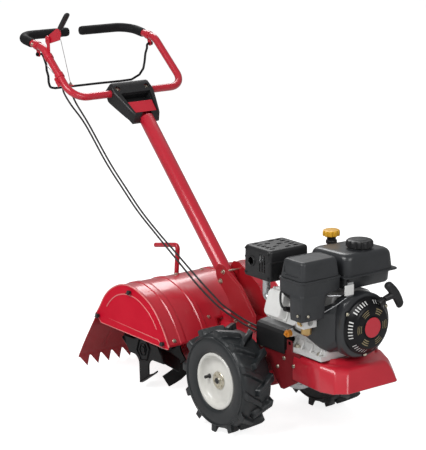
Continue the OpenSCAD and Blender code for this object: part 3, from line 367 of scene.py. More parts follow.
def round_rect(cx, cy, w, h, r, n=6):
    """Outline of a rectangle with rounded corners."""
    r = min(r, w / 2 - 0.01, h / 2 - 0.01)
    out = []
    for sx, sy, start in ((1, 1, 0), (-1, 1, 90), (-1, -1, 180), (1, -1, 270)):
        for i in range(n + 1):
            a = math.radians(start + 90 * i / n)
            out.append((cx + sx * (w / 2 - r) + r * math.cos(a), cy + sy * (h / 2 - r) + r * math.sin(a)))
    return out


def tray(levels, bm=None, n=6, plane="xy"):
    """A moulded box: levels are (height, centre x, centre y, width, depth, corner radius)."""
    place = {"xy": lambda p, t: (p[0], p[1], t), "xz": lambda p, t: (p[0], t, p[1]),
             "yz": lambda p, t: (t, p[0], p[1])}[plane]
    return loft([[place(p, z) for p in round_rect(cx, cy, w, h, r, n)] for z, cx, cy, w, h, r in levels], bm=bm)


def bolt(bm, at, out, r=6, h=4.5, washer=True):
    """A hexagon flange bolt head at a point, standing out along a direction."""
    a = V(out).normalized()
    u = a.orthogonal().normalized()
    axes = (a, u, a.cross(u))
    if washer:
        lathe([(0, -0.4), (r * 1.25, -0.4), (r * 1.3, 0.3), (r * 1.15, 1.0), (0, 1.0)], at=at, n=20, bm=bm,
              frame_axes=axes)
    lathe([(0, 0.8), (r, 0.8), (r, h * 0.82), (r * 0.82, h), (0, h)], at=at, n=6, bm=bm, frame_axes=axes)


def cut(o, cutter_bm):
    """Cuts a closed shape out of a piece and keeps the result as its mesh."""
    bmesh.ops.recalc_face_normals(cutter_bm, faces=cutter_bm.faces)
    me = bpy.data.meshes.new("cutter")
    cutter_bm.to_mesh(me)
    cutter_bm.free()
    c = bpy.data.objects.new("cutter", me)
    bpy.context.scene.collection.objects.link(c)
    m = o.modifiers.new("cut", "BOOLEAN")
    m.operation, m.solver, m.object, m.use_self = "DIFFERENCE", "EXACT", c, True
    bpy.context.view_layer.objects.active = o
    while o.modifiers.find("cut") > 0:
        with bpy.context.temp_override(object=o, active_object=o):
            bpy.ops.object.modifier_move_up(modifier="cut")
    with bpy.context.temp_override(object=o, active_object=o):
        bpy.ops.object.modifier_apply(modifier="cut")
    bpy.data.objects.remove(c)
    o.data.shade_smooth()
    o.data.set_sharp_from_angle(angle=math.radians(35))
    return o


# ---------------------------------------------------------------- wheels
AXLE_Z, WHEEL_Y = 165, 198


def tyre_mesh(bm, side):
    """A tractor-tread tyre as one closed skin: the lugs are raised out of the crown of the tread."""
    half = [(88, 45), (89.5, 47.5), (94, 51.5), (101, 54.6), (112, 56.2), (124, 56.3), (132.4, 54.6), (134.6, 54.2),
            (136.2, 57.2), (139, 57.0), (140.2, 52.6), (144, 49.4), (147.6, 43), (149.6, 31), (150.6, 16), (150.8, 0)]
    inner = [(86.5, 43), (92, 41), (104, 48), (124, 50), (138, 46), (143.6, 34), (146.6, 14), (146.8, 0)]
    skin = spline([(r, -y, 0) for r, y in half] + [(r, y, 0) for r, y in half[-2::-1]], 5)
    skin += [V((r, y, 0)) for r, y in inner] + [V((r, -y, 0)) for r, y in inner[-2::-1]]
    count, steps = 12, 432
    n_out = 5 * 30 + 1
    rows = []
    for k in range(steps):
        a = 2 * math.pi * k / steps
        deg = 360.0 * k / steps
        row = []
        for i, p in enumerate(skin):
            r, y = p.x, p.y
            if i < n_out and r > 137:
                raise_by = 0.0
                for s in (-1, 1):
                    q = s * y
                    along = (56 - q) / 74
                    shift = 18.7 * max(0.0, along) ** 0.9
                    d = (deg - shift - (15 if s > 0 else 0)) % 30.0
                    d = min(d, 30 - d) * math.pi / 180 * 160 * 0.81
                    width = 9.4 + 1.8 * smoothstep((q - 20) / 30)
                    raise_by = max(raise_by, smoothstep((width - d) / 2.6) * smoothstep((q + 12) / 4)
                                   * smoothstep((r - 140.4) / 4.5))
                r += (165.0 - r) * raise_by
                y *= 1 + 0.05 * raise_by * smoothstep((abs(y) - 36) / 12)
            row.append((r * math.cos(a), y + side * WHEEL_Y, AXLE_Z - r * math.sin(a)))
        rows.append(row)
    loft(rows + [rows[0]], caps=False, bm=bm)


bm = bmesh.new()
for side in (-1, 1):
    tyre_mesh(bm, side)
bmesh.ops.remove_doubles(bm, verts=bm.verts, dist=1e-6)
piece("tyre_pair", bm, "wheels", TYRE, "tyres", angle=50)

bm = bmesh.new()
for side in (-1, 1):
    face = [(9.6, -36), (25, -36), (27, -34.6), (34, -34.2), (42, -31.8), (54, -31.6), (62, -32.6), (67.5, -35),
            (71.5, -38.6), (74.6, -43), (76.6, -47.4), (79.4, -50.8), (83.5, -52.4), (87.4, -51.8), (89.4, -49.6),
            (88.6, -47), (84.5, -47), (82, -44), (80.3, -38), (79, -31), (75.5, -24), (73, -18), (72.5, 18), (75.5, 24),
            (79, 31), (80.3, 38), (82, 44), (84.5, 47), (88, 46.6), (89.2, 48.2), (87.8, 50), (84, 50.2), (80, 47.5),
            (77.5, 42), (76.2, 33), (73, 27), (69.5, 20), (69, -24), (64, -28.4), (54, -28.8), (42, -28.8),
            (34, -31.2), (16, -31.4), (16, 46), (9.6, 46)]
    lathe([(r, -side * y) for r, y in face], "y", (0, side * WHEEL_Y, AXLE_Z), 96, bm)
piece("rim_pair", bm, "wheels", RIM, "wheel_rims", angle=28)

bm = bmesh.new()
for side in (-1, 1):
    y = side * (WHEEL_Y + 31)
    for r0, h0, r1, h1 in ((4.4, 0, 4.2, 8), (5.2, 7.5, 5.0, 19)):
        pipe([(-51, y + side * h0, 165), (-51, y + side * h1, 165)], [r0, r1], 20, bm)
    lathe([(0, 0), (8, 0), (7, 3.5), (5, 6), (0, 6)], "y", (-51, y, 165), 20, bm,
          (V((0, side, 0)), V((0, 0, 1)), V((1, 0, 0))))
    # painted shade: a dark rubber disc over the middle of the hub stands in for the shaded hole at the axle end
    lathe([(0, 0), (9.2, 0), (9.2, 0.8), (8.2, 1.6), (0, 1.6)], at=(0, side * (WHEEL_Y + 43), 165), n=32, bm=bm,
          frame_axes=(V((0, side, 0)), V((0, 0, 1)), V((1, 0, 0))))
piece("tyre_valves_and_bore_shade", bm, "wheels", RUBBER, slot="tyre_rubber", angle=40)

bm = bmesh.new()
for side in (-1, 1):
    axes = (V((0, side, 0)), V((0, 0, 1)), V((1, 0, 0)))
    lathe([(9.6, 0), (27.5, 0), (28, 0.8), (27, 1.8), (9.6, 1.8)], at=(0, side * (WHEEL_Y + 36.2), 165), n=48,
          bm=bm, frame_axes=axes)
    lathe([(10, 0), (13.5, 0), (13, 1.5), (10, 1.5)], at=(0, side * (WHEEL_Y + 38), 165), n=32, bm=bm,
          frame_axes=axes)
    for i in range(6):
        a = math.radians(60 * i + 20)
        bolt(bm, (21 * math.cos(a), side * (WHEEL_Y + 38), 165 + 21 * math.sin(a)), (0, side, 0), 3.2, 2.6, False)
piece("hub_washers", bm, "wheels", ZINC, slot="zinc_plate", angle=30)




# ---------------------------------------------------------------- hood and flap
HOOD = [(-640, 236), (-618, 266), (-592, 303), (-559, 333), (-515, 357), (-475, 368), (-435, 369), (-393, 360),
        (-351, 345), (-317, 324), (-288, 297), (-262, 265), (-231, 215)]
hood_line = spline([(x, 0, z) for x, z in HOOD], 5)


def outward(line, i):
    d = (line[min(i + 1, len(line) - 1)] - line[max(i - 1, 0)]).normalized()
    return V((-d.z, 0, d.x))


def sheet(name, rows, body, mat, thick, *hides, skip=None, offset=-1, bevel=0):
    """A sheet of steel over a grid of points; skip leaves out the faces round a point."""
    bm = bmesh.new()
    grid = [[bm.verts.new(p * MM) for p in row] for row in rows]
    for a, b in zip(grid, grid[1:]):
        for i in range(len(a) - 1):
            mid = (a[i].co + a[i + 1].co + b[i].co + b[i + 1].co) / 4 / MM
            if not (skip and skip(mid)):
                bm.faces.new((a[i], a[i + 1], b[i + 1], b[i]))
    bmesh.ops.delete(bm, geom=[v for v in bm.verts if not v.link_faces], context="VERTS")
    o = piece(name, bm, body, mat, *hides, angle=24)
    m = o.modifiers.new("thickness", "SOLIDIFY")
    m.thickness, m.offset, m.use_even_offset = thick * MM, offset, True
    return o


def rib(y):
    up = 0
    for lo_y, hi_y in ((183, 206), (89, 108)):
        up = max(up, smoothstep((abs(y) - lo_y + 1.4) / 2.8) * smoothstep((hi_y + 1.4 - abs(y)) / 2.8))
    lip = smoothstep((abs(y) - 246) / 3)
    return 2.6 * up + 1.0 * lip


ys = sorted({s * y for s in (-1, 1) for y in
             [0, 12, 16.5, 24, 38.5, 50, 62, 74, 84, 86.5, 88, 89.2, 90.6, 95, 102, 106.6, 108, 109.4, 112, 124, 138,
              152, 166, 178, 181, 182.4, 183.6, 185, 190, 199, 204.6, 206, 207.4, 211, 222, 235, 244, 246.5, 248,
              249.5, 251, 252.6]})
rows = []
for i, p in enumerate(hood_line):
    n = outward(hood_line, i)
    wave = 0.35 * math.sin(i * 0.9)
    rows.append([p + n * (rib(y) + (wave * math.sin(y / 37.0) if abs(y) < 178 else 0)) + V((0, y, 0)) for y in ys])
sheet("hood_sheet", rows, "chassis", RED_GLOSS, 1.6, "hood_shell",
      skip=lambda m: (-262 < m.x and abs(m.y) < 38.4 and m.z < 296) or (-556 < m.x < -510 and abs(m.y) < 16.4))

bm = bmesh.new()
for y in (-225, 0, 225):                                     # hinge knuckles, curled out of the hood sheet
    lathe([(6, y - 24), (6, y + 24), (3.1, y + 24), (3.1, y - 24)], "y", (-652, 0, 226), 28, bm)
    prism([(-654, 231.4), (-650, 232), (-641, 238), (-636, 234), (-640, 231), (-650, 227)], y - 24, y + 24, "xz", bm)
piece("hood_knuckles", bm, "chassis", RED, slot="red_paint")

bm, beads = bmesh.new(), bmesh.new()
outline = [(p.x, p.z) for p in hood_line] + [(-233, 208), (-240, 206), (-617, 206), (-634, 222)]
for s in (-1, 1):
    prism(outline, s * 252.9, s * 254.6, "xz", bm)
    edge = [(p.x, s * 254.2, p.z) for p in hood_line]        # rolled rim along the arch
    pipe(edge, 2.3, 10, beads)
    pipe([(-236, s * 254.2, 208.5), (-244, s * 254.2, 206.6), (-615, s * 254.2, 206.6), (-634, s * 254.2, 223)], 1.8,
         10, beads)
    arch = spline([(-581, s * 254.3, 269), (-558, s * 254.3, 294), (-525, s * 254.3, 319), (-482, s * 254.3, 335),
                   (-435, s * 254.3, 339), (-392, s * 254.3, 331), (-352, s * 254.3, 312), (-320, s * 254.3, 288),
                   (-295, s * 254.3, 258)], 6)
    pipe(arch, [0.2] + [2.2] * (len(arch) - 2) + [0.2], 10, beads)
    line = rounded([(-592, s * 254.3, 232), (-287, s * 254.3, 227), (-276, s * 254.3, 216)], 9)
    pipe(line, [0.2] + [2.0] * (len(line) - 2) + [0.2], 10, beads)
# the end plates' red is brightened as painted light
piece("hood_ends", bm, "chassis", RED_LIT_PLAIN, "hood_end_plates", angle=40)
# the beads are raised ridges, coloured light pink as a painted highlight
piece("hood_end_beads_painted_highlight", beads, "chassis", RED_PAINTED_HIGHLIGHT, slot="red_paint", angle=60)

bm = bmesh.new()
for s in (-1, 1):
    for x, z in ((-441, 350), (-626, 228), (-259, 221)):
        axes = (V((0, s, 0)), V((0, 0, 1)), V((s, 0, 0)))
        lathe([(0, 0), (5.5, 0), (6.5, 2), (5.2, 5), (7.5, 6.5), (8, 10.5), (6, 12.5), (3, 13), (0, 13)],
              at=(x, s * 255, z), n=28, bm=bm, frame_axes=axes)
        for k in (0.35, math.pi + 0.35):                     # the two wings of the knob
            d = V((math.cos(k), 0, math.sin(k)))
            tip = V((x, s * 263.5, z)) + d * 10
            loft([[V((x, s * 263.5, z)) + d * 3 + V((0, s * a, 0)) + V((-d.z, 0, d.x)) * b
                   for a, b in ((-4, -2.4), (4, -2.4), (4, 2.4), (-4, 2.4))],
                  [tip + V((0, s * a, 0)) + V((-d.z, 0, d.x)) * b
                   for a, b in ((-4.5, -1.6), (4.5, -1.6), (4.5, 1.6), (-4.5, 1.6))]], bm=bm)
        pipe([(x, s * 256, z), (x, s * 246, z)], 3, 12, bm)
piece("hood_wing_knobs", bm, "chassis", BLACK, "hood_knobs", bevel=0.6)

# the flap: a creased sheet with stiffening beads and a saw-toothed edge
FLAP = [(-655.5, 222), (-690, 171), (-722, 124), (-747, 85), (-750.5, 78), (-762, 60), (-769, 48)]
flap_ys = [-246 + 492 * i / 132 for i in range(133)]
rows = []
for k, (x, z) in enumerate(FLAP):
    row = []
    for i, y in enumerate(flap_ys):
        bead = 0.0
        for c in (-150, 0, 150):
            bead = max(bead, smoothstep((9 - abs(y - c)) / 5))
        lift = 2.2 * bead * (1 if 1 <= k <= 3 else 0.3 if k == 4 else 0)
        row.append(V((x - lift * 0.82, y, z + lift * 0.5)))
    rows.append(row)
drop = V((-9.5, 0, -47))
pitch = 492 / 11
teeth = []
for i, y in enumerate(flap_ys):
    f = ((y + 246) / pitch) % 1.0
    if i == len(flap_ys) - 1:
        f = 1.0
    depth = 0.30 + 0.70 * (f / 0.93) if f < 0.93 else 1.0 - 0.7 * (f - 0.93) / 0.07
    teeth.append(rows[-1][i] + drop * max(0.12, (depth - 0.3) / 0.7))
rows.append(teeth)
# the flap's red is darkened as painted shade
sheet("flap_sheet", rows, "flap", RED_IN_SHADE, 1.8, "rear_flap", offset=0)
bm = bmesh.new()
for y0 in (-199, 26):
    lathe([(6, y0), (6, y0 + 173), (3.1, y0 + 173), (3.1, y0)], "y", (-652, 0, 226), 28, bm)
    prism([(-658.6, 226), (-656.5, 219.5), (-653.5, 219.5), (-651, 221.5)], y0, y0 + 173, "xz", bm)
piece("flap_knuckles", bm, "flap", RED_IN_SHADE, slot="red_paint")


# ---------------------------------------------------------------- tines
def tine_plate(y, face, way, turn_by):
    """One four-armed tine plate, its arm tips bent over a slanting line towards one side."""
    bm = bmesh.new()
    spin = Matrix.Rotation(math.radians(turn_by), 3, "Y")
    at = V((-457, y, 140))
    put = lambda p: at + spin @ p
    outline = []
    for k in range(4):
        turn = Matrix.Rotation(math.radians(90 * k), 2)
        arm = [(115, -26), (82, 26)]
        arc = [(56 + 30 * math.cos(math.radians(a)), 56 + 30 * math.sin(math.radians(a))) for a in
               range(268, 179, -8)]
        outline += [turn @ V(p) for p in arm + arc]
    loft([[put(V((p.x, face - 3, p.y))) for p in outline], [put(V((p.x, face + 3, p.y))) for p in outline]], bm=bm)
    b, c = V((0.556, 0, -0.831)).normalized(), V((-0.203, 0.963 * way, -0.136)).normalized()
    d = (0.556 * b + 0.831 * c).normalized()
    w = (b - d * b.dot(d)).normalized()
    for k in range(4):
        turn = Matrix.Rotation(math.radians(90 * k), 3, "Y")
        rings = []
        for t in (-3, 4, 14, 30, 50, 66, 78):                # the blade curves a little along its length
            half = 27 if t < 10 else 26.4 - 2.5 * (t / 78) ** 2
            sag = 3.2 * math.sin(math.pi * max(0, t) / 78)
            n = d.cross(w).normalized()
            mid = V((100, face, 0)) + d * t + n * (sag * math.copysign(1, n.x))
            skew = 0.62 * (1 - smoothstep(t / 30))
            q = w + (b - w) * skew
            rings.append([put(turn @ (mid + q * e * half + n * f)) for e, f in ((-1, -2.6), (1, -2.6), (1, 2.6), (-1, 2.6))])
        loft(rings, bm=bm)
    return bm


for i, y in enumerate((-180, -78, 78, 180)):
    out = 1 if y > 0 else -1
    end = abs(y) > 100
    bm = tine_plate(y, 12 * out if end else 0, -out if end else out, -2 if end else 43)
    piece(f"tine_plate_{i}", bm, "rotor", BLACK_PAINT, *(("tines",) if i == 0 else ()), bevel=0.9, angle=32,
          slot=None if i == 0 else "black_paint")
bm = bmesh.new()
for y in (-180, -78, 78, 180):
    out = 1 if y > 0 else -1
    lathe([(12.6, -18), (19, -18), (20.5, -16), (20.5, 9), (19, 12), (12.6, 12)], at=(-457, y, 140), n=40, bm=bm,
          frame_axes=(V((0, out, 0)), V((0, 0, 1)), V((1, 0, 0))))
    pipe([(-484, y - 8 * out, 140), (-430, y - 8 * out, 140)], 3, 14, bm)
    bolt(bm, (-437, y - 8 * out, 140), (1, 0, 0), 5, 4, False)
    bolt(bm, (-477, y - 8 * out, 140), (-1, 0, 0), 5, 4, False)
    if abs(y) > 100:                                         # six-sided boss pressed into the plate
        for scale, lift, drop in ((1.0, 4.4, 4.4), (0.52, 5.4, 3.2)):
            ring = []
            for s, t in ((1.0, 0.0), (0.955, drop), (0.9, drop), (0.855, drop - 2.2)):
                pts = [(0, 46), (33, 25), (33, -25), (0, -46), (-33, -25), (-33, 25)]
                a = math.radians(-20)
                ring.append([V((-457 + s * scale * (p[0] * math.cos(a) - p[1] * math.sin(a)), y + out * (14.9 + t),
                                140 + s * scale * (p[0] * math.sin(a) + p[1] * math.cos(a)))) for p in pts])
            loft(ring + [ring[0]], caps=False, bm=bm)
        lathe([(0, 0), (11, 0), (10, 3.4), (6, 3.4), (5, 2.2), (0, 2.2)], at=(-457, y + out * 14.6, 140), n=24, bm=bm,
              frame_axes=(V((0, out, 0)), V((0, 0, 1)), V((1, 0, 0))))
piece("tine_hubs", bm, "rotor", BLACK_PAINT, slot="black_paint", bevel=0.5)


# ---------------------------------------------------------------- bumper
def bumper_ring(t, inset):
    """Outline of the bumper pan at one level, open at the back, with rounded corners."""
    nose = 441 - 24 * t - inset
    front = 100 - 22 * t - inset
    side_c = 124 - 16 * t - inset
    side_b = 129 - 1.5 * t - inset
    pts = [(226, -side_b), (352 - 10 * t, -side_b + 0.4), (nose - 30 + 4 * t, -side_c + 1), (nose, -front), (nose, front),
           (nose - 30 + 4 * t, side_c - 1), (352 - 10 * t, side_b - 0.4), (226, side_b)]
    return rounded([(x, y, 0) for x, y in pts], 16, 5)


def bumper_height(x, t):
    """Level t of the pan at x: its lower edge sags under the middle, its top falls towards the nose."""
    low = 206 - 5 * smoothstep((x - 250) / 90) + 11 * smoothstep((x - 380) / 50)
    high = 286 - 9 * smoothstep((x - 300) / 120)
    return low + (high - low) * t


levels = [(0, 1.6), (0.03, 0), (0.1, 0), (0.3, -0.6), (0.55, -0.4), (0.78, 0.8), (0.88, 2.4), (0.94, 5), (0.975, 8.5),
          (0.995, 13), (1.0, 19), (1.0, 30)]
rows = []
for t, inset in levels:
    rows.append([V((p.x, p.y, bumper_height(p.x, t))) for p in bumper_ring(t, inset)])
top = rows[-1]
for k in (0.35, 0.7, 1.0):                                   # the top runs in and up over the engine frame
    rows.append([V((p.x + (min(p.x, 352) - p.x) * k, p.y * (1 - 0.12 * k), p.z + (293.4 - p.z) * smoothstep(k)))
                 for p in top])
sheet("bumper_pan", rows, "chassis", RED_GLOSS, 2.2, "front_bumper")


# ---------------------------------------------------------------- handle
COL_TOP, COL_LOW = V((-815, 0, 974.5)), V((-227, 0, 369))
COL_D = (COL_LOW - COL_TOP).normalized()
COL_N = V((-COL_D.z, 0, COL_D.x))
col = lambda s, y, n: COL_TOP + COL_D * s + V((0, y, 0)) + COL_N * n
BAR_S, BAR_N = (V((-797.6, 0, 936)) - COL_TOP).dot(COL_D), (V((-797.6, 0, 936)) - COL_TOP).dot(COL_N)


def tube(pts, r_out, r_in, n=24, bm=None, lip=1.2):
    """A hollow tube along pts with rounded ends."""
    bm = bm or bmesh.new()
    pts = [V(p) for p in pts]
    a, b = (pts[1] - pts[0]).normalized(), (pts[-1] - pts[-2]).normalized()
    ends_in = [pts[0] + a * lip] + pts[1:-1] + [pts[-1] - b * lip]
    line = [pts[0]] + [pts[0] + a * lip] + pts[1:-1] + [pts[-1] - b * lip] + [pts[-1]]
    radii = [r_out - lip * 0.8] + [r_out] * (len(line) - 2) + [r_out - lip * 0.8]
    rings, u = [], None
    for i, p in enumerate(line):
        t = (line[min(i + 1, len(line) - 1)] - line[max(i - 1, 0)]).normalized()
        u = u or t.orthogonal().normalized()
        u = (u - u.dot(t) * t).normalized()
        rings.append((p, u.copy(), t.cross(u), radii[i]))
    skin = [[p + r * (u * math.cos(c) + w * math.sin(c)) for c in (2 * math.pi * j / n for j in range(n))]
            for p, u, w, r in rings]
    bore = [[p + r_in * (u * math.cos(c) + w * math.sin(c)) for c in (2 * math.pi * j / n for j in range(n))]
            for p, u, w, r in rings[::-1]]
    loft(skin + bore + [skin[0]], caps=False, bm=bm)
    return bm


bar = rounded([(-1140, -29, 1109), (-1140, -232, 1109), (-973, -232, 1085), (-797.6, -232, 936), (-797.6, 232, 936),
               (-973, 232, 1085), (-1140, 232, 1109), (-1140, 29, 1109)], 60, 12)
piece("bar_tube", tube(bar, 12.7, 10.7, 36), "handle", RED_TUBE, "handlebar", angle=40)

bm = bmesh.new()
for s in (-1, 1):
    line = [V((p.x, -s * p.y, p.z)) for p in bar[:len(bar) // 2]]
    k = next(i for i, p in enumerate(line) if p.x > -1042)
    grip = [V((-1140, s * 27.5, 1109))] + line[1:k] + [line[k - 1].lerp(line[k], (-1042 - line[k - 1].x) / (line[k].x - line[k - 1].x))]
    full = []
    for a, b in zip(grip, grip[1:]):                         # short steps, so that the foam can vary
        n = max(1, int((b - a).length / 7))
        full += [a.lerp(b, i / n) for i in range(n)]
    full.append(grip[-1])
    lip = [16.0 + 0.28 * noise.noise(V((i * 0.4, s * 3, 0))) for i in range(len(full))]
    u, rings = None, []
    for i, p in enumerate(full):
        t = (full[min(i + 1, len(full) - 1)] - full[max(i - 1, 0)]).normalized()
        u = u or t.orthogonal().normalized()
        u = (u - u.dot(t) * t).normalized()
        rings.append((p, u.copy(), t.cross(u), lip[i] - (1.6 if i in (0, len(full) - 1) else 0)))
    ring = lambda p, u, w, r: [p + r * (u * math.cos(c) + w * math.sin(c)) for c in (2 * math.pi * j / 32 for j in range(32))]
    skin = [ring(*x) for x in rings]
    loft(skin + [ring(x[0], x[1], x[2], 12.9) for x in rings[::-1]] + [skin[0]], caps=False, bm=bm)
    pipe([(-1140, s * 29.4, 1109), (-1140, s * 27.2, 1109)], 12.95, 28, bm)
piece("grip_foam_pair", bm, "handle", FOAM, "handle_grips", angle=40)

bm = tube([col(160, 0, 0), COL_LOW - COL_D * 60, COL_LOW], 25.5, 23.5, 56)
half_pipe = lambda s: [col(s, r * math.sin(a), -r * math.cos(a)) for r, a in
                       [(25.5, math.radians(d)) for d in range(-90, 91, 12)]
                       + [(23.5, math.radians(d)) for d in range(90, -91, -12)]]
loft([half_pipe(s) for s in (98, 130, 161)], bm=bm)
saddle = [(y, n) for y, n in round_rect(0, BAR_N + 14.5, 136, 3.4, 1.5, 3)]
loft([[col(s, y, n) for y, n in saddle] for s in (18, 50)], bm=bm)
piece("column_tube", bm, "handle", RED_TUBE, "handle_column", angle=40)

# the console: a moulded cover with a recessed window, a plain plate and two sunk bolts
def console_section(s, wide, back, face, r, inset=0):
    w = wide - inset
    pts = [(-w, back), (-w, face - inset), (w, face - inset), (w, back)]
    line = rounded([(y, n, 0) for y, n in pts], r, 6)
    return [col(s, p.x, p.y) for p in line]


stations = [(9, 70, -30, 2, 5), (10.5, 76, -35, 6.2, 8), (15, 79, -36.6, 8.2, 9), (30, 80.6, -39, 9.6, 9),
            (50, 82, -42.6, 11.3, 9), (60, 80.6, -41, 12.2, 9), (85, 73.4, -35.6, 14.4, 9), (110, 66.2, -30, 16.6, 9),
            (135, 58.8, -24, 18.8, 9), (146, 55.6, -20.5, 19.6, 9), (153, 54.4, -18.6, 17, 8), (162, 54, -16.4, 5.5, 6),
            (170, 53.6, -14.4, -5.5, 3)]
rows = [console_section(*st) for st in stations]
bm = loft([row for row in rows], closed=True)
cover = piece("console_shell", bm, "handle", BLACK, "console", angle=32)
hole = bmesh.new()                                           # the deep window in the face
loft([[col(63, -58, 4), col(63, 58, 4), col(146, 46, 12), col(146, -46, 12)],
      [col(54, -64, 24), col(54, 64, 24), col(149, 45.5, 30), col(149, -45.5, 30)]], bm=hole)
cut(cover, hole)
hole = bmesh.new()                                           # a deeper pocket behind its upper part
loft([[col(66, -52, -18), col(66, 52, -18), col(92, 48, -16), col(92, -48, -16)],
      [col(63, -57, 6), col(63, 57, 6), col(96, 51, 8), col(96, -51, 8)]], bm=hole)
cut(cover, hole)
for s in (-1, 1):
    hole = bmesh.new()
    lathe([(0, -3), (9.5, -3), (11.5, 20), (0, 20)], at=col(38, s * 60, 4), n=32, bm=hole,
          frame_axes=(COL_N, COL_D, V((0, 1, 0))))
    cut(cover, hole)
hole = bmesh.new()                                           # the way out of the column
lathe([(0, -20), (26.2, -20), (26.2, 90), (0, 90)], at=col(146, 0, 0), n=48, bm=hole,
      frame_axes=(COL_D, COL_N, V((0, 1, 0))))
cut(cover, hole)
bm = bmesh.new()
loft([[col(97, -49.5, 9.2), col(97, 49.5, 9.2), col(144, 44.6, 13.4), col(144, -44.6, 13.4)],
      [col(97, -49.5, 10.4), col(97, 49.5, 10.4), col(144, 44.6, 14.6), col(144, -44.6, 14.6)]], bm=bm)
piece("console_plate", bm, "handle", RED, slot="red_paint", bevel=0.3)
bm = bmesh.new()
for s in (-1, 1):
    bolt(bm, col(38, s * 60, 1.4), COL_N, 4.6, 5)
    lathe([(0, 0), (8.6, 0), (8.6, 1.2), (0, 1.2)], at=col(38, s * 60, 1.0), n=28, bm=bm,
          frame_axes=(COL_N, COL_D, V((0, 1, 0))))
piece("console_bolts", bm, "handle", ZINC, slot="zinc_plate")


# ---------------------------------------------------------------- fuel tank and caps
CRANK_Z = 397
bm = bmesh.new()
levels = [(500, 146, 164, 22), (501.6, 156, 174, 26), (506, 163, 181, 27), (534, 167, 185, 27), (538, 168, 186, 27),
          (538.4, 190, 208, 15), (539.4, 193.4, 211.4, 14), (543, 193.4, 211.4, 14), (544, 190, 208, 15),
          (544.4, 178, 196, 26), (548, 177.4, 195.4, 26), (584, 171, 189, 27), (592, 168, 186, 28),
          (598, 162, 180, 30), (602, 152, 170, 32), (603.6, 140, 158, 33), (604, 122, 140, 34)]
slope = lambda p: V((p[0], p[1], p[2] + (0.028 * (p[0] - 282) - 0.02 * (p[1] - 38)) * smoothstep((p[2] - 560) / 30)))
loft([[slope((x, y, z)) for x, y in round_rect(284, 45, w, h, r, 8)] for z, w, h, r in levels], bm=bm)
lathe([(0, 598), (35, 598), (36, 604), (35, 607), (31, 608), (31, 610), (0, 610)], "z", (310, 55, 0), 64, bm)
piece("tank_shell", bm, "chassis", GRAPHITE_PAINT, "fuel_tank", angle=38)


def ribbed_cap(z0, z1, r, ribs, depth, at, axes, crown=2.5, n=10):
    """A screw cap with flat grip ribs around its side, by sweeping a lobed outline up the axis."""
    a, u, w = axes
    count = ribs * n
    rings = []
    for z, s, keep in ((z0, 0.965, 1), (z0 + 1.2, 1, 1), (z1 - crown - 2, 0.985, 1), (z1 - crown, 0.97, 0.9),
                       (z1 - crown * 0.35, 0.93, 0.5), (z1, 0.86, 0.1), (z1 + 0.2, 0.5, 0), (z1 + 0.2, 0.2, 0)):
        ring = []
        for k in range(count):
            c = 2 * math.pi * k / count
            wave = abs(((k / n) % 1.0) - 0.5) * 2
            rr = (r - depth * keep * smoothstep((wave - 0.45) / 0.3)) * s
            ring.append(at + a * z + rr * (u * math.cos(c) + w * math.sin(c)))
        rings.append(ring)
    return loft(rings)


bm = ribbed_cap(610, 630, 41.5, 12, 4.2, V((310, 55, 0)), (V((0, 0, 1)), V((1, 0, 0)), V((0, 1, 0))), 4)
lathe([(0, 607), (37, 607), (38, 608.5), (38, 611), (0, 611)], "z", (310, 55, 0), 56, bm)
lathe([(0, 629.6), (24, 629.6), (22, 631.4), (8, 632), (0, 632)], "z", (310, 55, 0), 40, bm)
piece("tank_cap", bm, "fuel_cap", BLACK, "fuel_cap", angle=30)

OIL_TOP = V((169, 68, 612))
OIL_AX = (OIL_TOP - V((168, 76, 428))).normalized()
axes = (OIL_AX, OIL_AX.orthogonal().normalized(), OIL_AX.cross(OIL_AX.orthogonal().normalized()))
bm = ribbed_cap(1, 18, 27, 10, 3.4, OIL_TOP, axes, 3)
pipe([OIL_TOP - OIL_AX * 17, OIL_TOP + OIL_AX * 2], 11.2, 28, bm)
piece("oil_cap_top", bm, "oil_cap", YELLOW, "oil_fill_cap", angle=30)
neck = rounded([(199.7, 76, 428), (168, 76, 428), tuple(OIL_TOP)], 20, 10)
bm = tube(neck, 14, 12, 28)
for t, r in ((0.9, 16.5), (0.5, 15.2)):
    p = V((168, 76, 428)).lerp(OIL_TOP, t)
    lathe([(13.9, -5), (r, -5), (r + 0.8, -3.5), (r + 0.8, 3.5), (r, 5), (13.9, 5)], at=p, n=32, bm=bm, frame_axes=axes)
piece("oil_neck", bm, "chassis", BLACK, "oil_fill_tube", angle=35)

# ---------------------------------------------------------------- air cleaner
bm = bmesh.new()
base = [(432, 337, -170, 50, 88, 8), (434, 337, -170, 54, 92, 10), (450, 337, -170, 55, 95, 10),
        (496, 337, -169, 57, 98, 10), (504, 336, -168, 59, 100, 11), (507, 326, -156, 80, 122, 11),
        (509, 315, -144, 101, 145, 12), (512, 312, -141, 106, 150, 12.5), (545, 312, -140.5, 108.4, 152, 13),
        (546, 312, -140.5, 111, 154.4, 13.5), (547, 312, -140.5, 112, 155, 13.5), (551, 312, -140.5, 112, 155, 13.5),
        (552, 312, -140.5, 110, 153, 13)]
tray(base, bm, 7)
for at, out in (((352, -217.2, 452), V((0, -1, 0))), ((364.4, -192, 449), V((1, 0, 0)))):
    lathe([(0, 0), (9, 0), (9.6, 1.4), (7, 1.4), (6.6, 0.4), (0, 0.4)], at=at, n=28, bm=bm,
          frame_axes=(out, V((0, 0, 1)), out.cross(V((0, 0, 1)))))
piece("cleaner_base", bm, "chassis", GRAPHITE, "air_cleaner_base", angle=34)
bm = bmesh.new()
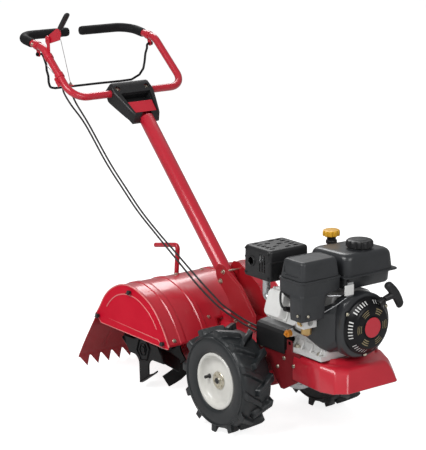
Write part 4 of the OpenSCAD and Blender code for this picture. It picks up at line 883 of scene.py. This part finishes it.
lid = [(552.5, 313, -141, 101, 144, 13), (553.2, 313, -141, 103, 146, 13.5), (556, 313, -141, 103, 146, 13.5),
       (580, 313, -141, 97, 140, 13), (598, 313, -141, 92, 134, 12.5), (603, 313, -141, 90, 132, 12.5),
       (606, 313, -141, 85, 127, 13), (607.6, 313, -141, 77, 119, 13), (607.6, 313, -141, 73, 115, 12),
       (606.6, 313, -141, 71, 113, 12)]
tray(lid, bm, 8)
o = piece("cleaner_lid", bm, "chassis", GRAPHITE, "air_cleaner_cover", angle=34)
hole = bmesh.new()                                           # shallow panel pressed into the right face
loft([[V((x, -216, z)) for x, z in round_rect(313, 577, 70, 33, 7, 5)],
      [V((x, -209.4, z)) for x, z in round_rect(313, 577, 66, 29, 6, 5)]], bm=hole)
cut(o, hole)
bm = bmesh.new()
bolt(bm, (352, -217.6, 452), (0, -1, 0), 4.6, 3.6, False)
bolt(bm, (364.8, -192, 449), (1, 0, 0), 4.6, 3.6, False)
piece("cleaner_screws", bm, "chassis", ZINC, slot="zinc_plate")

# ---------------------------------------------------------------- muffler guard
bm = bmesh.new()
shell = [(512, 128, -115, 122, 148, 9), (513, 128, -115, 124, 150, 10), (566, 128, -115, 124, 150, 10),
         (567, 128, -115, 126.5, 152.4, 10.5), (570, 128, -115, 126.5, 152.4, 10.5), (571, 128, -115, 124, 150, 10),
         (597, 128, -115, 123, 149, 10), (601.6, 128, -115, 120.5, 146.5, 10), (604.4, 128, -115, 114, 140, 9),
         (605, 128, -115, 104, 130, 8)]
rings = [[V((x, y, z)) for x, y in round_rect(cx, cy, w, h, r, 6)] for z, cx, cy, w, h, r in shell]
inner = [[V((x, y, z)) for x, y in round_rect(cx, cy, w - 3, h - 3, r - 1, 6)] for z, cx, cy, w, h, r in shell[:-1]]
inner.append([V((x, y, 603.2)) for x, y in round_rect(128, -115, 102, 128, 7, 6)])
outer_bm = bmesh.new()
rows = [[outer_bm.verts.new(p * MM) for p in ring] for ring in rings + inner[::-1]]
for k, (a, b) in enumerate(zip(rows, rows[1:] + rows[:1])):
    if k == len(rings) - 1:
        continue
    for i in range(len(a)):
        j = (i + 1) % len(a)
        outer_bm.faces.new((a[i], a[j], b[j], b[i]))
outer_bm.faces.new(rows[len(rings) - 1])
outer_bm.faces.new(rows[len(rings)][::-1])
o = piece("guard_shell", outer_bm, "chassis", BLACK, "muffler_guard", angle=32)
hole = bmesh.new()
for x in (140, 151, 162):
    loft([[V((px, y, pz)) for px, pz in round_rect(x + 2, 562, 4.6, 56, 2.2, 4)] for y in (-196, -184)], bm=hole)
cut(o, hole)
hole = bmesh.new()
lathe([(0, -8), (12.5, -8), (12.5, 8), (0, 8)], "y", (103, -190, 561), 32, hole)
cut(o, hole)
hole = bmesh.new()
for i in range(5):
    for j in range(4):
        if (i + j) % 2 == 0 or j in (0, 3):
            loft([[V((px, py, z)) for px, py in round_rect(86 + 20 * i, -162 + 30 * j, 9.5, 20, 4.5, 4)] for z in (598, 610)],
                 bm=hole)
cut(o, hole)
bm = bmesh.new()
lathe([(12, -1.6), (16, -1.6), (17, -0.4), (15.5, 3.2), (13, 3.8), (12, 3)], at=(103, -190.4, 561), n=40, bm=bm,
      frame_axes=(V((0, -1, 0)), V((0, 0, 1)), V((1, 0, 0))))
for x, z in ((76, 596), (180, 596), (76, 522), (180, 522)):
    bolt(bm, (x, -190.4, z), (0, -1, 0), 3.4, 3)
piece("guard_outlet", bm, "chassis", BLACK, slot="black_plastic", angle=35)

# ---------------------------------------------------------------- blower housing and starter
XA = (V((1, 0, 0)), V((0, 1, 0)), V((0, 0, 1)))


def scroll(extra, x):
    """Outline of the blower housing: round on the left of the engine, squarer on its carburettor side."""
    pts = []
    for k in range(96):
        a = 2 * math.pi * k / 96
        c, s = math.cos(a), math.sin(a)
        if c >= 0:
            r = 97.0
        else:
            e = 5.0 if s > 0 else 3.0
            e += (2 - e) * smoothstep((c + 0.25) / 0.25)
            high = 97 - (4.5 * smoothstep(-c / 0.35) if s > 0 else 0)
            r = 1 / ((-c / 89) ** e + (abs(s) / high) ** e) ** (1 / e)
        pts.append(V((x, (r + extra) * c, CRANK_Z + (r + extra) * s)))
    return pts


def circle(r, x):
    return [V((x, r * math.cos(2 * math.pi * k / 96), CRANK_Z + r * math.sin(2 * math.pi * k / 96))) for k in range(96)]


bm = bmesh.new()
skin = [scroll(-12, 347), scroll(-5, 350), scroll(-1.5, 356), scroll(0, 364), scroll(0, 394),
        scroll(-1.2, 399), scroll(-3.6, 402), scroll(-6, 402.8), circle(80, 403), circle(80, 400)]
bore = [scroll(-9, 399), scroll(-4, 394), scroll(-4, 366), scroll(-10, 354), scroll(-24, 350), scroll(-26, 347)]
loft(skin + bore + [skin[0]], caps=False, bm=bm)
shroud = [(372, [(-60, 326), (-82, 336), (-92, 362), (-92, 440), (-86, 468), (-60, 474)]),
          (350, [(-62, 314), (-96, 318), (-108, 338), (-108, 440), (-98, 464), (-62, 470)]),
          (330, [(-72, 322), (-112, 328), (-126, 348), (-124, 434), (-114, 452), (-72, 458)]),
          (308, [(-90, 346), (-132, 352), (-145, 368), (-142, 424), (-130, 438), (-90, 444)]),
          (290, [(-96, 362), (-140, 364), (-152, 378), (-146, 416), (-134, 428), (-96, 434)])]
loft([[V((x, p.x, p.y)) for p in rounded([V((y, z, 0)) for y, z in ring] + [V((ring[0][0], ring[0][1], 0))], 12, 5)[:-1]]
      for x, ring in shroud], bm=bm)
piece("blower_shell", bm, "chassis", GRAPHITE_PAINT, "blower_housing", angle=40)
COVER_BOLTS = [(88 * math.cos(math.radians(a)), CRANK_Z + 88 * math.sin(math.radians(a))) for a in (148, 268, 30)]
bm = bmesh.new()
for y, z in COVER_BOLTS:
    bolt(bm, (405.6, y, z), (1, 0, 0), 4.8, 4.6)
piece("cover_bolts", bm, "chassis", ZINC, slot="zinc_plate")

prof = [(80, 403.4), (85.6, 403.6), (87.4, 405), (87, 408.6), (85.4, 410.4), (82, 411.8), (70, 424), (67, 428),
        (64, 430.4), (60, 431.6), (36, 432.6), (34.6, 431.2), (33.4, 431.2), (32.4, 433.4), (31.4, 434), (0, 434), (0, 430),
        (30, 430), (32, 428), (58, 427.4), (62, 425.4), (66, 421), (78, 409.4), (80, 407.4)]
bm = lathe(prof, at=(0, 0, CRANK_Z), n=144, frame_axes=XA)
for y, z in COVER_BOLTS:                                     # ears of the cover under its bolts
    lathe([(0, 403.2), (8.6, 403.2), (8.8, 404), (8.8, 405), (8, 406), (0, 406)], at=(0, y, z), n=28, bm=bm, frame_axes=XA)
o = piece("starter_disc", bm, "chassis", BLACK_PAINT, "starter_cover", angle=26)
hole = bmesh.new()
for k in range(48):                                          # radial vents on the slope of the disc
    a = math.radians(7.5 * k + 3.75)
    if k % 8 in (3, 4):
        continue
    u, w = V((0, math.cos(a), math.sin(a))), V((0, -math.sin(a), math.cos(a)))
    c = V((0, 0, CRANK_Z))
    loft([[c + V((x, 0, 0)) + u * r + w * t for r, t in ((69.5, -1.9), (80, -2.2), (80, 2.2), (69.5, 1.9))]
          for x in (404, 436)], bm=hole)
cut(o, hole)
hole = bmesh.new()
for g in range(6):                                           # six groups of curved slots
    for r in (43, 49.5, 56):
        arc = [math.radians(60 * g + t) for t in range(-15, 16, 2)]
        inner_edge = [V((0, (r - 1.6) * math.cos(a), CRANK_Z + (r - 1.6) * math.sin(a))) for a in arc]
        outer_edge = [V((0, (r + 1.6) * math.cos(a), CRANK_Z + (r + 1.6) * math.sin(a))) for a in arc[::-1]]
        loft([[p + V((x, 0, 0)) for p in inner_edge + outer_edge] for x in (422, 440)], bm=hole)
cut(o, hole)
bm = bmesh.new()
lathe([(0, 433.6), (30.6, 433.6), (30.6, 434.6), (29.8, 435.4), (0, 435.6)], at=(0, 0, CRANK_Z), n=64, bm=bm, frame_axes=XA)
piece("starter_badge", bm, "chassis", RED, slot="red_paint", angle=30)
bm = bmesh.new()                                             # wire screen seen through the slots
lathe([(41, 431.2), (58, 430.5), (58, 429), (41, 429.6)], at=(0, 0, CRANK_Z), n=64, bm=bm, frame_axes=XA)
piece("starter_screen", bm, "chassis", SCREEN, slot="gear_bronze")
bm = bmesh.new()                                             # rim of the bright drum behind the vents
lathe([(69.2, 423.5), (80.6, 411.9), (80.6, 409.5), (69.2, 421)], at=(0, 0, CRANK_Z), n=64, bm=bm, frame_axes=XA)
piece("starter_drum", bm, "chassis", PALE, slot="pale_plastic")

PULL = V((0, math.cos(math.radians(22)), math.sin(math.radians(22))))
GUIDE = V((421, 46, 466))
bm = bmesh.new()
cross_axes = (PULL, V((1, 0, 0)), PULL.cross(V((1, 0, 0))))
lathe([(3.4, -16), (12, -16), (13, -14), (11, 2), (11, 6), (9, 8), (3.4, 8)], at=GUIDE, n=32, bm=bm, frame_axes=cross_axes)
for k in range(4):
    pipe([GUIDE + PULL * (-12 + 5 * k), GUIDE + PULL * (-10 + 5 * k)], 12.6, 28, bm)
piece("rope_bush", bm, "chassis", BLACK, slot="black_paint", angle=35)
bm = bmesh.new()
c = GUIDE + 48 * PULL + V((8, 0, 0))
across = V((0, 0.603, -0.798))                               # the grip hangs a little askew on its rope
out = V((0, 0.798, 0.603))
rings = []
for k in range(-48, 49, 2):                                  # the grip is thicker at its middle and cross-ribbed
    t = k / 48
    rib_ = 0.9 if (k // 2) % 2 == 0 and abs(t) > 0.28 else 0.0
    r = 12.4 + 2.0 * (1 - t * t) - (2.8 * smoothstep((abs(t) - 0.9) / 0.1)) - rib_
    rings.append([c + across * k - out * 6 * t * t + V((1, 0, 0)) * r * 0.8 * math.cos(q) + out * r * 1.05 * math.sin(q)
                  for q in (2 * math.pi * j / 28 for j in range(28))])
loft(rings, bm=bm)
stem = [GUIDE + PULL * 11, GUIDE + PULL * 14, GUIDE + PULL * 30 + V((5, 0, 0)), c]
pipe(spline(stem, 5), [7.8] * 3 + [8.0 + 0.35 * k for k in range(13)], 24, bm)
piece("pull_grip", bm, "starter", BLACK, "starter_grip", angle=40)


# ---------------------------------------------------------------- pieces that run between two bodies, built in place on neither
def bending(name, bm, a, b, start, end, mat, *hides):
    bmesh.ops.recalc_face_normals(bm, faces=bm.faces)
    me = bpy.data.meshes.new(name)
    bm.to_mesh(me)
    bm.free()
    me.materials.append(mat)
    me.shade_smooth()
    me.set_sharp_from_angle(angle=math.radians(50))
    o = bpy.data.objects.new(name, me)
    bpy.context.scene.collection.objects.link(o)
    V(start) * MM
    V(end) * MM
    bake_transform(o)
    if hides:
        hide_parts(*hides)
    return o


TOPS = ((-893, -208), (-874, -190))
bm = bmesh.new()
for i, (x, y) in enumerate(TOPS):
    s = 9 * i
    run = spline([(x, y, 966), (x + 3, y, 944), (-862 + s, y + 9, 905), (-818 + s, -170 + s, 838),
                  (-740 + s, -142 + s, 719), (-668 + s, -125 + s, 639), (-599 + s, -112 + s, 571),
                  (-514 + s, -100 + s, 508), (-433 + s, -91 + s, 453 + s / 2), (-323 + s, -80 + s, 380 + s),
                  (-250 + s, -78 + s, 344 + s), (-188, -78 + s, 322 + s), (-68, -90 + s, 307 + s), (0, -97 + s, 305 + s),
                  (56, -100 + s, 306 + s)], 7)
    pipe(run, 3.1, 14, bm)
bending("cable_pair", bm, "chassis", "handle", (-330, -75, 380), (-800, -150, 800), RUBBER, "control_cables")

CLIP = V((-1003, -218, 1062)).lerp(V((-988, -198, 942)), 0.3)
bm = bmesh.new()
ends = (CLIP + V((4, 2, -2)), V((TOPS[0][0], TOPS[0][1], 973)))
pipe([ends[1].lerp(ends[0], k / 12) for k in range(13)], 1.1, 10, bm)
bending("clutch_line", bm, "handle", "bail", ends[1], ends[0], STEEL, "clutch_wire")
bm = bmesh.new()
ends = (V((-886, -218, 1123)), V((TOPS[1][0], TOPS[1][1], 973)))
pipe([ends[1].lerp(ends[0], k / 12) for k in range(13)], 1.1, 10, bm)
bending("reverse_line", bm, "handle", "reverse", ends[1], ends[0], STEEL, "reverse_wire")
bm = bmesh.new()
ends = (GUIDE - PULL * 20, GUIDE + PULL * 12)
pipe([ends[0].lerp(ends[1], k / 16) for k in range(17)], 2.1, 12, bm)
bending("rope_line", bm, "chassis", "starter", ends[0], ends[1], ROPE, "starter_rope")

# ---------------------------------------------------------------- bail, levers and brackets on the bar
bm = bmesh.new()
left = [(-1003, -241, 1062), (-1003, -219, 1062), (-1004, -211, 1046), (-998, -207, 1024), (-1001, -204, 1004),
        (-993, -203, 986), (-996, -200, 962), (-990, -198, 946), (-988, -180, 942)]
right = [(-988, 88, 941), (-988, 140, 942), (-990, 176, 956), (-994, 196, 976), (-996, 203, 1000), (-999, 209, 1028),
         (-1003, 219, 1046), (-1003, 219, 1062), (-1003, 241, 1062)]
pipe(rounded(left, 9, 5) + [V((-988, 0, 942))] + rounded(right, 9, 5), 4.1, 16, bm)
for s in (-1, 1):
    lathe([(0, -2), (6.5, -2), (7.4, -1), (7.4, 1), (6.5, 2), (0, 2)], at=(-1003, s * 239, 1062), n=24, bm=bm, frame_axes=AXES["y"])
piece("bail_rod", bm, "bail", BLACK_PAINT, "clutch_bail", angle=60)

bm = bmesh.new()
lever = [(-962, 1110), (-958, 1104), (-944, 1104), (-884, 1121), (-877, 1141), (-884, 1158), (-900, 1159), (-950, 1131),
         (-961, 1120)]
prism([(p.x, p.z) for p in rounded([(x, 0, z) for x, z in lever + lever[:1]], 5, 4)[:-1]], -225.4, -220.8, "xz", bm)
pipe([(-893, -223, 1146), (-848, -223, 1197)], 4.6, 16, bm)
piece("lever_plate", bm, "reverse", RED, "reverse_lever", bevel=0.6)
bm = bmesh.new()
low, high = V((-880.7, -223, 1160)), V((-832, -223, 1215.1))
d = (high - low).normalized()
side = V((0, 1, 0))
face = d.cross(side)
rings = []
for t, a, b in ((0, 7.5, 6.5), (2, 9.5, 8.5), (14, 10, 8.2), (34, 10.5, 7.6), (56, 11, 7.2), (66, 10.4, 7), (71, 8.4, 5.6),
                (73.4, 5, 3.2)):
    rings.append([low + d * t + side * a * math.cos(q) + face * b * math.sin(q)
                  for q in (2 * math.pi * j / 28 for j in range(28))])
loft(rings, bm=bm)
piece("lever_cap", bm, "reverse", BLACK, "lever_grip", angle=40)

ARM = (V((-1140, 0, 1109)) - V((-973, 0, 1085))).normalized()
LOW = (V((-797.6, 0, 936)) - V((-973, 0, 1085))).normalized()


def band(bm, mid, along, r, half):
    n = V((0, 1, 0)).cross(along)
    lathe([(12.76, -half), (r - 0.8, -half), (r, -half + 0.8), (r, half - 0.8), (r - 0.8, half), (12.76, half)], at=mid, n=36,
          bm=bm, frame_axes=(along, V((0, 1, 0)), n))


bm = bmesh.new()
for s in (-1, 1):
    c = V((-973, s * 232, 1085)) + ARM * 38
    band(bm, c, ARM, 15.4, 9)
    prism([(-1019, 1080), (-996, 1078), (-996.5, 1058), (-1000, 1053.5), (-1005, 1053), (-1011, 1056)], s * 232 - 2.1,
          s * 232 + 2.1, "xz", bm)
    bolt(bm, c + V((0, s * 15.2, 0)), (0, s, 0), 4, 3.6)
c = V((-973, -232, 1085)) + LOW * 42
band(bm, c, LOW, 15.4, 9)
prism([(-951, 1074), (-936, 1066), (-938, 1122), (-943, 1128), (-953, 1130), (-962, 1124), (-963, 1108), (-954, 1098)], -231,
      -228, "xz", bm)
bolt(bm, (-952, -231, 1118), (0, -1, 0), 5.2, 4)
c = V((-973, -232, 1085)) + LOW * 128
band(bm, c, LOW, 15.4, 9)
prism([(-905, 966), (-862, 966), (-860, 986), (-868, 1006), (-880, 1010), (-890, 992), (-905, 974)], -222, -219.2, "xz", bm)
prism([(-905, -222), (-862, -222), (-860, -206), (-864, -182), (-880, -180), (-905, -198)], 966, 968.6, "xy", bm)
prism([(-880, 992), (-852, 984), (-846, 974), (-858, 968), (-872, 980)], -250, -247.4, "xz", bm)
prism([(-884, 996), (-860, 990), (-862, 982), (-884, 988)], -248, -232, "xz", bm)
piece("bar_clamps", bm, "handle", RED, "control_brackets", bevel=0.5, angle=40)
bm = bmesh.new()
bolt(bm, V((-973, -232, 1085)) + ARM * 48 + V((0, -15.4, 4)), (0, -1, 0), 4, 5)
for x, y in TOPS:                                            # threaded ends of the cable sheaths
    pipe([(x, y, 950), (x, y, 978)], 2.9, 16, bm)
    for z in (962, 970.5):
        lathe([(0, z), (5.6, z), (5.6, z + 3.4), (0, z + 3.4)], "z", (x, y, 0), 6, bm)
piece("cable_ends", bm, "handle", ZINC, slot="zinc_plate", angle=30)

# ---------------------------------------------------------------- handle bracket and its bolts
bm = bmesh.new()
plate = [(-262, 447), (-236, 449), (-139, 398), (-66, 316), (-72, 262), (-196, 262), (-196, 318), (-212, 345), (-270, 400),
         (-278, 430)]
line = rounded([(x, 0, z) for x, z in plate + plate[:1]], 8, 5)[:-1]
for s in (-1, 1):
    prism([(p.x, p.z) for p in line], s * 30, s * 33, "xz", bm)
    pipe(rounded([(-256, s * 33, 436), (-236, s * 33, 438), (-150, s * 33, 392), (-80, s * 33, 312)], 10), 1.5, 8, bm)
# the bracket plates' red is darkened as painted shade
piece("bracket_plates", bm, "chassis", RED_IN_SHADE, "handle_bracket", bevel=0.5, angle=40)
bm = bmesh.new()
for x, z, r in ((-249.3, 392, 7.5), (-236, 426, 6), (-169, 280, 6), (-100, 280, 6)):
    for s in (-1, 1):
        bolt(bm, (x, s * 33.2, z), (0, s, 0), r, 5.5)
    pipe([(x, -41, z), (x, 41, z)], r * 0.55, 16, bm)
for x, y in ((225, -110), (325, -110), (225, 95), (325, 95)):
    bolt(bm, (x, y, 306.3), (0, 0, 1), 7.2, 7)
for x, y, z, n in ((-240, -226, 230, (0.84, 0, 0.54)), (-269, -68, 273, (0.8, 0, 0.6)), (-470, -49, 369, (0, 0, 1)),
                   (-470, 58, 369, (0, 0, 1)), (-563, -30, 331, (-0.6, 0, 0.8)), (-563, 30, 331, (-0.6, 0, 0.8)),
                   (-269, 68, 273, (0.8, 0, 0.6)), (-240, 226, 230, (0.84, 0, 0.54))):
    bolt(bm, (x, y, z + 0.4), n, 5.4, 4.8)
for x, z in ((90, 250), (230, 250), (150, 228), (75, 276), (180, 262)):
    for s in (-1, 1):
        bolt(bm, (x, s * (129.2 if x > 200 else 124.2), z), (0, s, 0), 4.8, 4)
piece("machine_bolts", bm, "chassis", ZINC, "frame_bolts", angle=30)

# ---------------------------------------------------------------- engine frame
bm = bmesh.new()
side_plate = [(47, 288), (47, 252), (85, 262), (141, 189), (165, 163), (180, 163), (253, 206), (253, 290), (218, 290),
              (218, 318), (212, 324.5), (192, 324.5), (192, 290)]
for s in (-1, 1):
    pts = side_plate if s < 0 else side_plate[:8]
    prism(pts, s * 121, s * 124, "xz", bm)
prism([(50, -118), (340, -112), (346, -104), (346, 104), (340, 112), (50, 118)], 287.2, 290.9, "xy", bm)
prism([(-118, 176), (-50, 176), (-46, 204), (46, 204), (50, 176), (118, 176), (118, 288), (-118, 288)], 47, 50, "yz", bm)
# the frame's red is darkened as painted shade
o = piece("engine_cradle", bm, "chassis", RED_DEEP_SHADED, "engine_frame", bevel=0.6)
hole = bmesh.new()
prism([(198, 309), (210, 309), (210, 320), (198, 320)], -130, -110, "xz", hole)
cut(o, hole)

# ---------------------------------------------------------------- engine castings
def cyl(x, w, h):
    """A point in the frame of the cylinder: x along the crankshaft, h out along the bore, w across it."""
    t = math.radians(17)
    return V((243 + x, -h * math.cos(t) + w * math.sin(t), CRANK_Z + h * math.sin(t) + w * math.cos(t)))


bm = bmesh.new()
for k, h in enumerate(range(102, 146, 8)):                   # cooling fins, each a rounded plate
    ring = round_rect(0, 0, 108, 96, 16, 5)
    loft([[cyl(x, w, h + t) for x, w in ring] for t in (0, 2.6)], bm=bm)
loft([[cyl(42 * math.cos(q), 42 * math.sin(q), h) for q in (2 * math.pi * j / 48 for j in range(48))] for h in (100, 150)],
     bm=bm)
head = round_rect(-1, 0, 128, 100, 14, 5)
loft([[cyl(-1 + (x + 1) * k, w * k, h) for x, w in head] for h, k in ((150, 0.98), (151.4, 1), (160, 1), (162, 0.95),
                                                                    (176, 0.93), (178, 0.97), (182, 0.97))], bm=bm)
for x, w in ((-52, -38), (-52, 38), (50, -38), (50, 38)):
    loft([[cyl(x + 9 * math.cos(q), w + 9 * math.sin(q), h) for q in (2 * math.pi * j / 20 for j in range(20))]
          for h in (150, 176)], bm=bm)
piece("head_casting", bm, "chassis", ALLOY, "cylinder_head", bevel=0.7, angle=35)
bm = bmesh.new()
cover = [(182.3, 88, 92, 12), (186, 88, 92, 12), (186.6, 80, 84, 12), (205, 76, 80, 13), (210, 71, 75, 14),
         (212.3, 60, 64, 14)]
loft([[cyl(-21 + x, w, h) for x, w in round_rect(0, 0, a, b, r, 6)] for h, a, b, r in cover], bm=bm)
for x, w in ((-59, -40), (-59, 40), (17, -40), (17, 40)):
    bolt(bm, cyl(x, w, 186.4), cyl(0, 0, 1) - cyl(0, 0, 0), 4.4, 5)
piece("valve_casting", bm, "chassis", PALE, "valve_cover", angle=35)

bm = bmesh.new()
a = cyl(42, -4, 182)
out = (cyl(0, 0, 1) - cyl(0, 0, 0)).normalized()
pa = (out, out.orthogonal().normalized(), out.cross(out.orthogonal().normalized()))
lathe([(0, 8), (8.4, 8), (9, 10), (9, 22), (7.6, 26), (7.6, 36), (6.4, 40), (0, 40)], at=a, n=28, bm=bm, frame_axes=pa)
lead = spline([a + out * 36, a + out * 46 + V((-4, 0, 6)), (268, -214, 478), (262, -206, 506), (258, -180, 520), (252, -146, 518),
               (250, -124, 508), (250, -112, 486)], 8)
pipe(lead, 3.4, 14, bm)
piece("plug_lead", bm, "chassis", RUBBER, "spark_plug", angle=40)

NODES_BEVEL = {"crankcase": 1.6, "belt_cover": 3.0, "transmission_housing": 1.2, "housing_covers": 1.0,
               "carburetor": 1.2, "muffler": 2.0, "depth_lever": 0.8, "dipstick": 0.9, "throttle_lever": 0.4,
               "choke_lever": 0.3, "wheel_axle": 0.8, "tine_shaft": 0.6, "idler_arm": 0.5}
for name, width in NODES_BEVEL.items():
    m = NODES[name].modifiers.new("edges", "BEVEL")
    m.width, m.segments, m.limit_method, m.angle_limit = width * MM, 3, "ANGLE", math.radians(38)
    m.use_clamp_overlap = True

# crankcase skirt, foot ribs and side bolts; carburettor bits, hose and clips
bm = bmesh.new()
for x in (212, 250, 290, 332):
    loft([[(x - 2.5, -99, 309), (x + 2.5, -99, 309), (x + 2.5, -119, 306.4), (x - 2.5, -119, 306.4)],
          [(x - 2.5, -97, 340), (x + 2.5, -97, 340), (x + 2.5, -98.6, 340), (x - 2.5, -98.6, 340)]], bm=bm)
for y, z in ((-70, 330), (60, 330), (74, 430), (-60, 455), (80, 380)):
    lathe([(0, 344), (8, 344), (8, 347.6), (0, 347.6)], at=(0, y, z), n=20, bm=bm, frame_axes=XA)
prism([(208, 300), (344, 300), (344, 318), (330, 330), (222, 330), (208, 318)], -103.4, -97, "xz", bm)
piece("case_ribs", bm, "chassis", ALLOY, slot="engine_alloy", bevel=0.8)
bm = bmesh.new()
pipe(spline([(344, -178, 470), (352, -204 + 14, 455), (350, -196, 436), (336, -190, 428)], 8), 6, 18, bm)
pipe(spline([(262, -196, 548), (256, -200, 530), (262, -200, 505), (290, -190, 486), (314, -180, 476)], 8), 5, 16, bm)
pipe(spline([(300, -168, 414), (286, -176, 404), (282, -170, 386), (292, -150, 372)], 8), 3.6, 14, bm)
piece("hoses", bm, "chassis", RUBBER, slot="plug_rubber")
bm = bmesh.new()
lathe([(0, -190), (7, -190), (7, -186), (4, -186), (4, -180), (0, -180)], at=(322, 0, 418), n=24, bm=bm, frame_axes=AXES["y"])
lathe([(0, 376), (9, 376), (16, 382), (16, 399), (12, 404), (0, 404)], "z", (322, -160, 0), 32, bm)
pipe([(330, -190, 412), (330, -176, 412)], 3, 12, bm)
piece("carb_brass", bm, "chassis", BRONZE, slot="gear_bronze", angle=35)
bm = bmesh.new()
pipe(rounded([(346, -120, 500), (372, -120, 500), (386, -84, 498)], 6), 2.2, 12, bm)
block((372, -60, 497), (376, -28, 501), bm)
loft([[(384, -66, 480), (388, -66, 480), (388, -38, 480), (384, -38, 480)], [(384, -60, 532), (388, -60, 532), (388, -38, 532),
                                                                     (384, -38, 532)]], bm=bm)
pipe(rounded([(340, -150, 432), (352, -140, 440), (378, -90, 470), (386, -62, 488)], 8), 1.6, 10, bm)
piece("throttle_plate", bm, "chassis", STEEL, slot="bright_steel", bevel=0.4)


# ---------------------------------------------------------------- stage, light, camera
def look_at(o, eye, target):
    o.location = V(eye) * MM
    o.rotation_euler = (V(target) - V(eye)).to_track_quat("-Z", "Y").to_euler()


def softbox(name, eye, target, w, h, watts, color=(1, 1, 1)):
    light = bpy.data.lights.new(name, "AREA")
    light.shape = "RECTANGLE"
    light.size, light.size_y = w * MM, h * MM
    light.energy = watts
    light.color = color
    o = bpy.data.objects.new(name, light)
    bpy.context.scene.collection.objects.link(o)
    look_at(o, eye, target)


scene = bpy.context.scene
bm = bmesh.new()
bmesh.ops.create_grid(bm, x_segments=1, y_segments=1, size=40)
me = bpy.data.meshes.new("floor")
bm.to_mesh(me)
bm.free()
floor = bpy.data.objects.new("floor", me)
scene.collection.objects.link(floor)
FLOOR = material("floor_paper", (0.55, 0.55, 0.55), 0.9, var=0.01, grain=60, bump=0.02, spec=0.1)
me.materials.append(FLOOR)
ft = FLOOR.node_tree
path = ft.nodes.new("ShaderNodeLightPath")
ft.links.new(ramp(ft.nodes, ft.links, path.outputs["Is Camera Ray"], 0, 1, 0.1, 0.86),
             ft.nodes["Principled BSDF"].inputs["Emission Strength"])
ft.nodes["Principled BSDF"].inputs["Emission Color"].default_value = (1, 1, 1, 1)

world = bpy.data.worlds.new("studio")
scene.world = world
world.use_nodes = True
world.node_tree.nodes["Background"].inputs[0].default_value = (1, 1, 1, 1)
wt = world.node_tree
path = wt.nodes.new("ShaderNodeLightPath")
wt.links.new(ramp(wt.nodes, wt.links, path.outputs["Is Camera Ray"], 0, 1, 0.26, 1.0),
             wt.nodes["Background"].inputs[1])
softbox("key_light", (200, -3000, 3200), (-150, 0, 400), 2200, 1600, 92)
softbox("fill_light", (3600, -400, 2600), (-100, 0, 400), 2000, 1600, 48)
softbox("rear_light", (-3200, 1800, 3400), (-300, 0, 400), 1800, 1800, 60)

AZ, EL, DIST, AIM = math.radians(52.4), math.radians(13.7), 5500, V((-332.6, 0, 557.9))
cam = bpy.data.cameras.new("camera")
cam.sensor_fit = "AUTO"
cam.sensor_width = 36
cam.lens = 135.24
cam.clip_end = 200
camera = bpy.data.objects.new("camera", cam)
scene.collection.objects.link(camera)
look_at(camera, AIM + DIST * V((math.sin(AZ) * math.cos(EL), -math.cos(AZ) * math.cos(EL), math.sin(EL))), AIM)
scene.camera = camera
scene.view_settings.view_transform = "Standard"
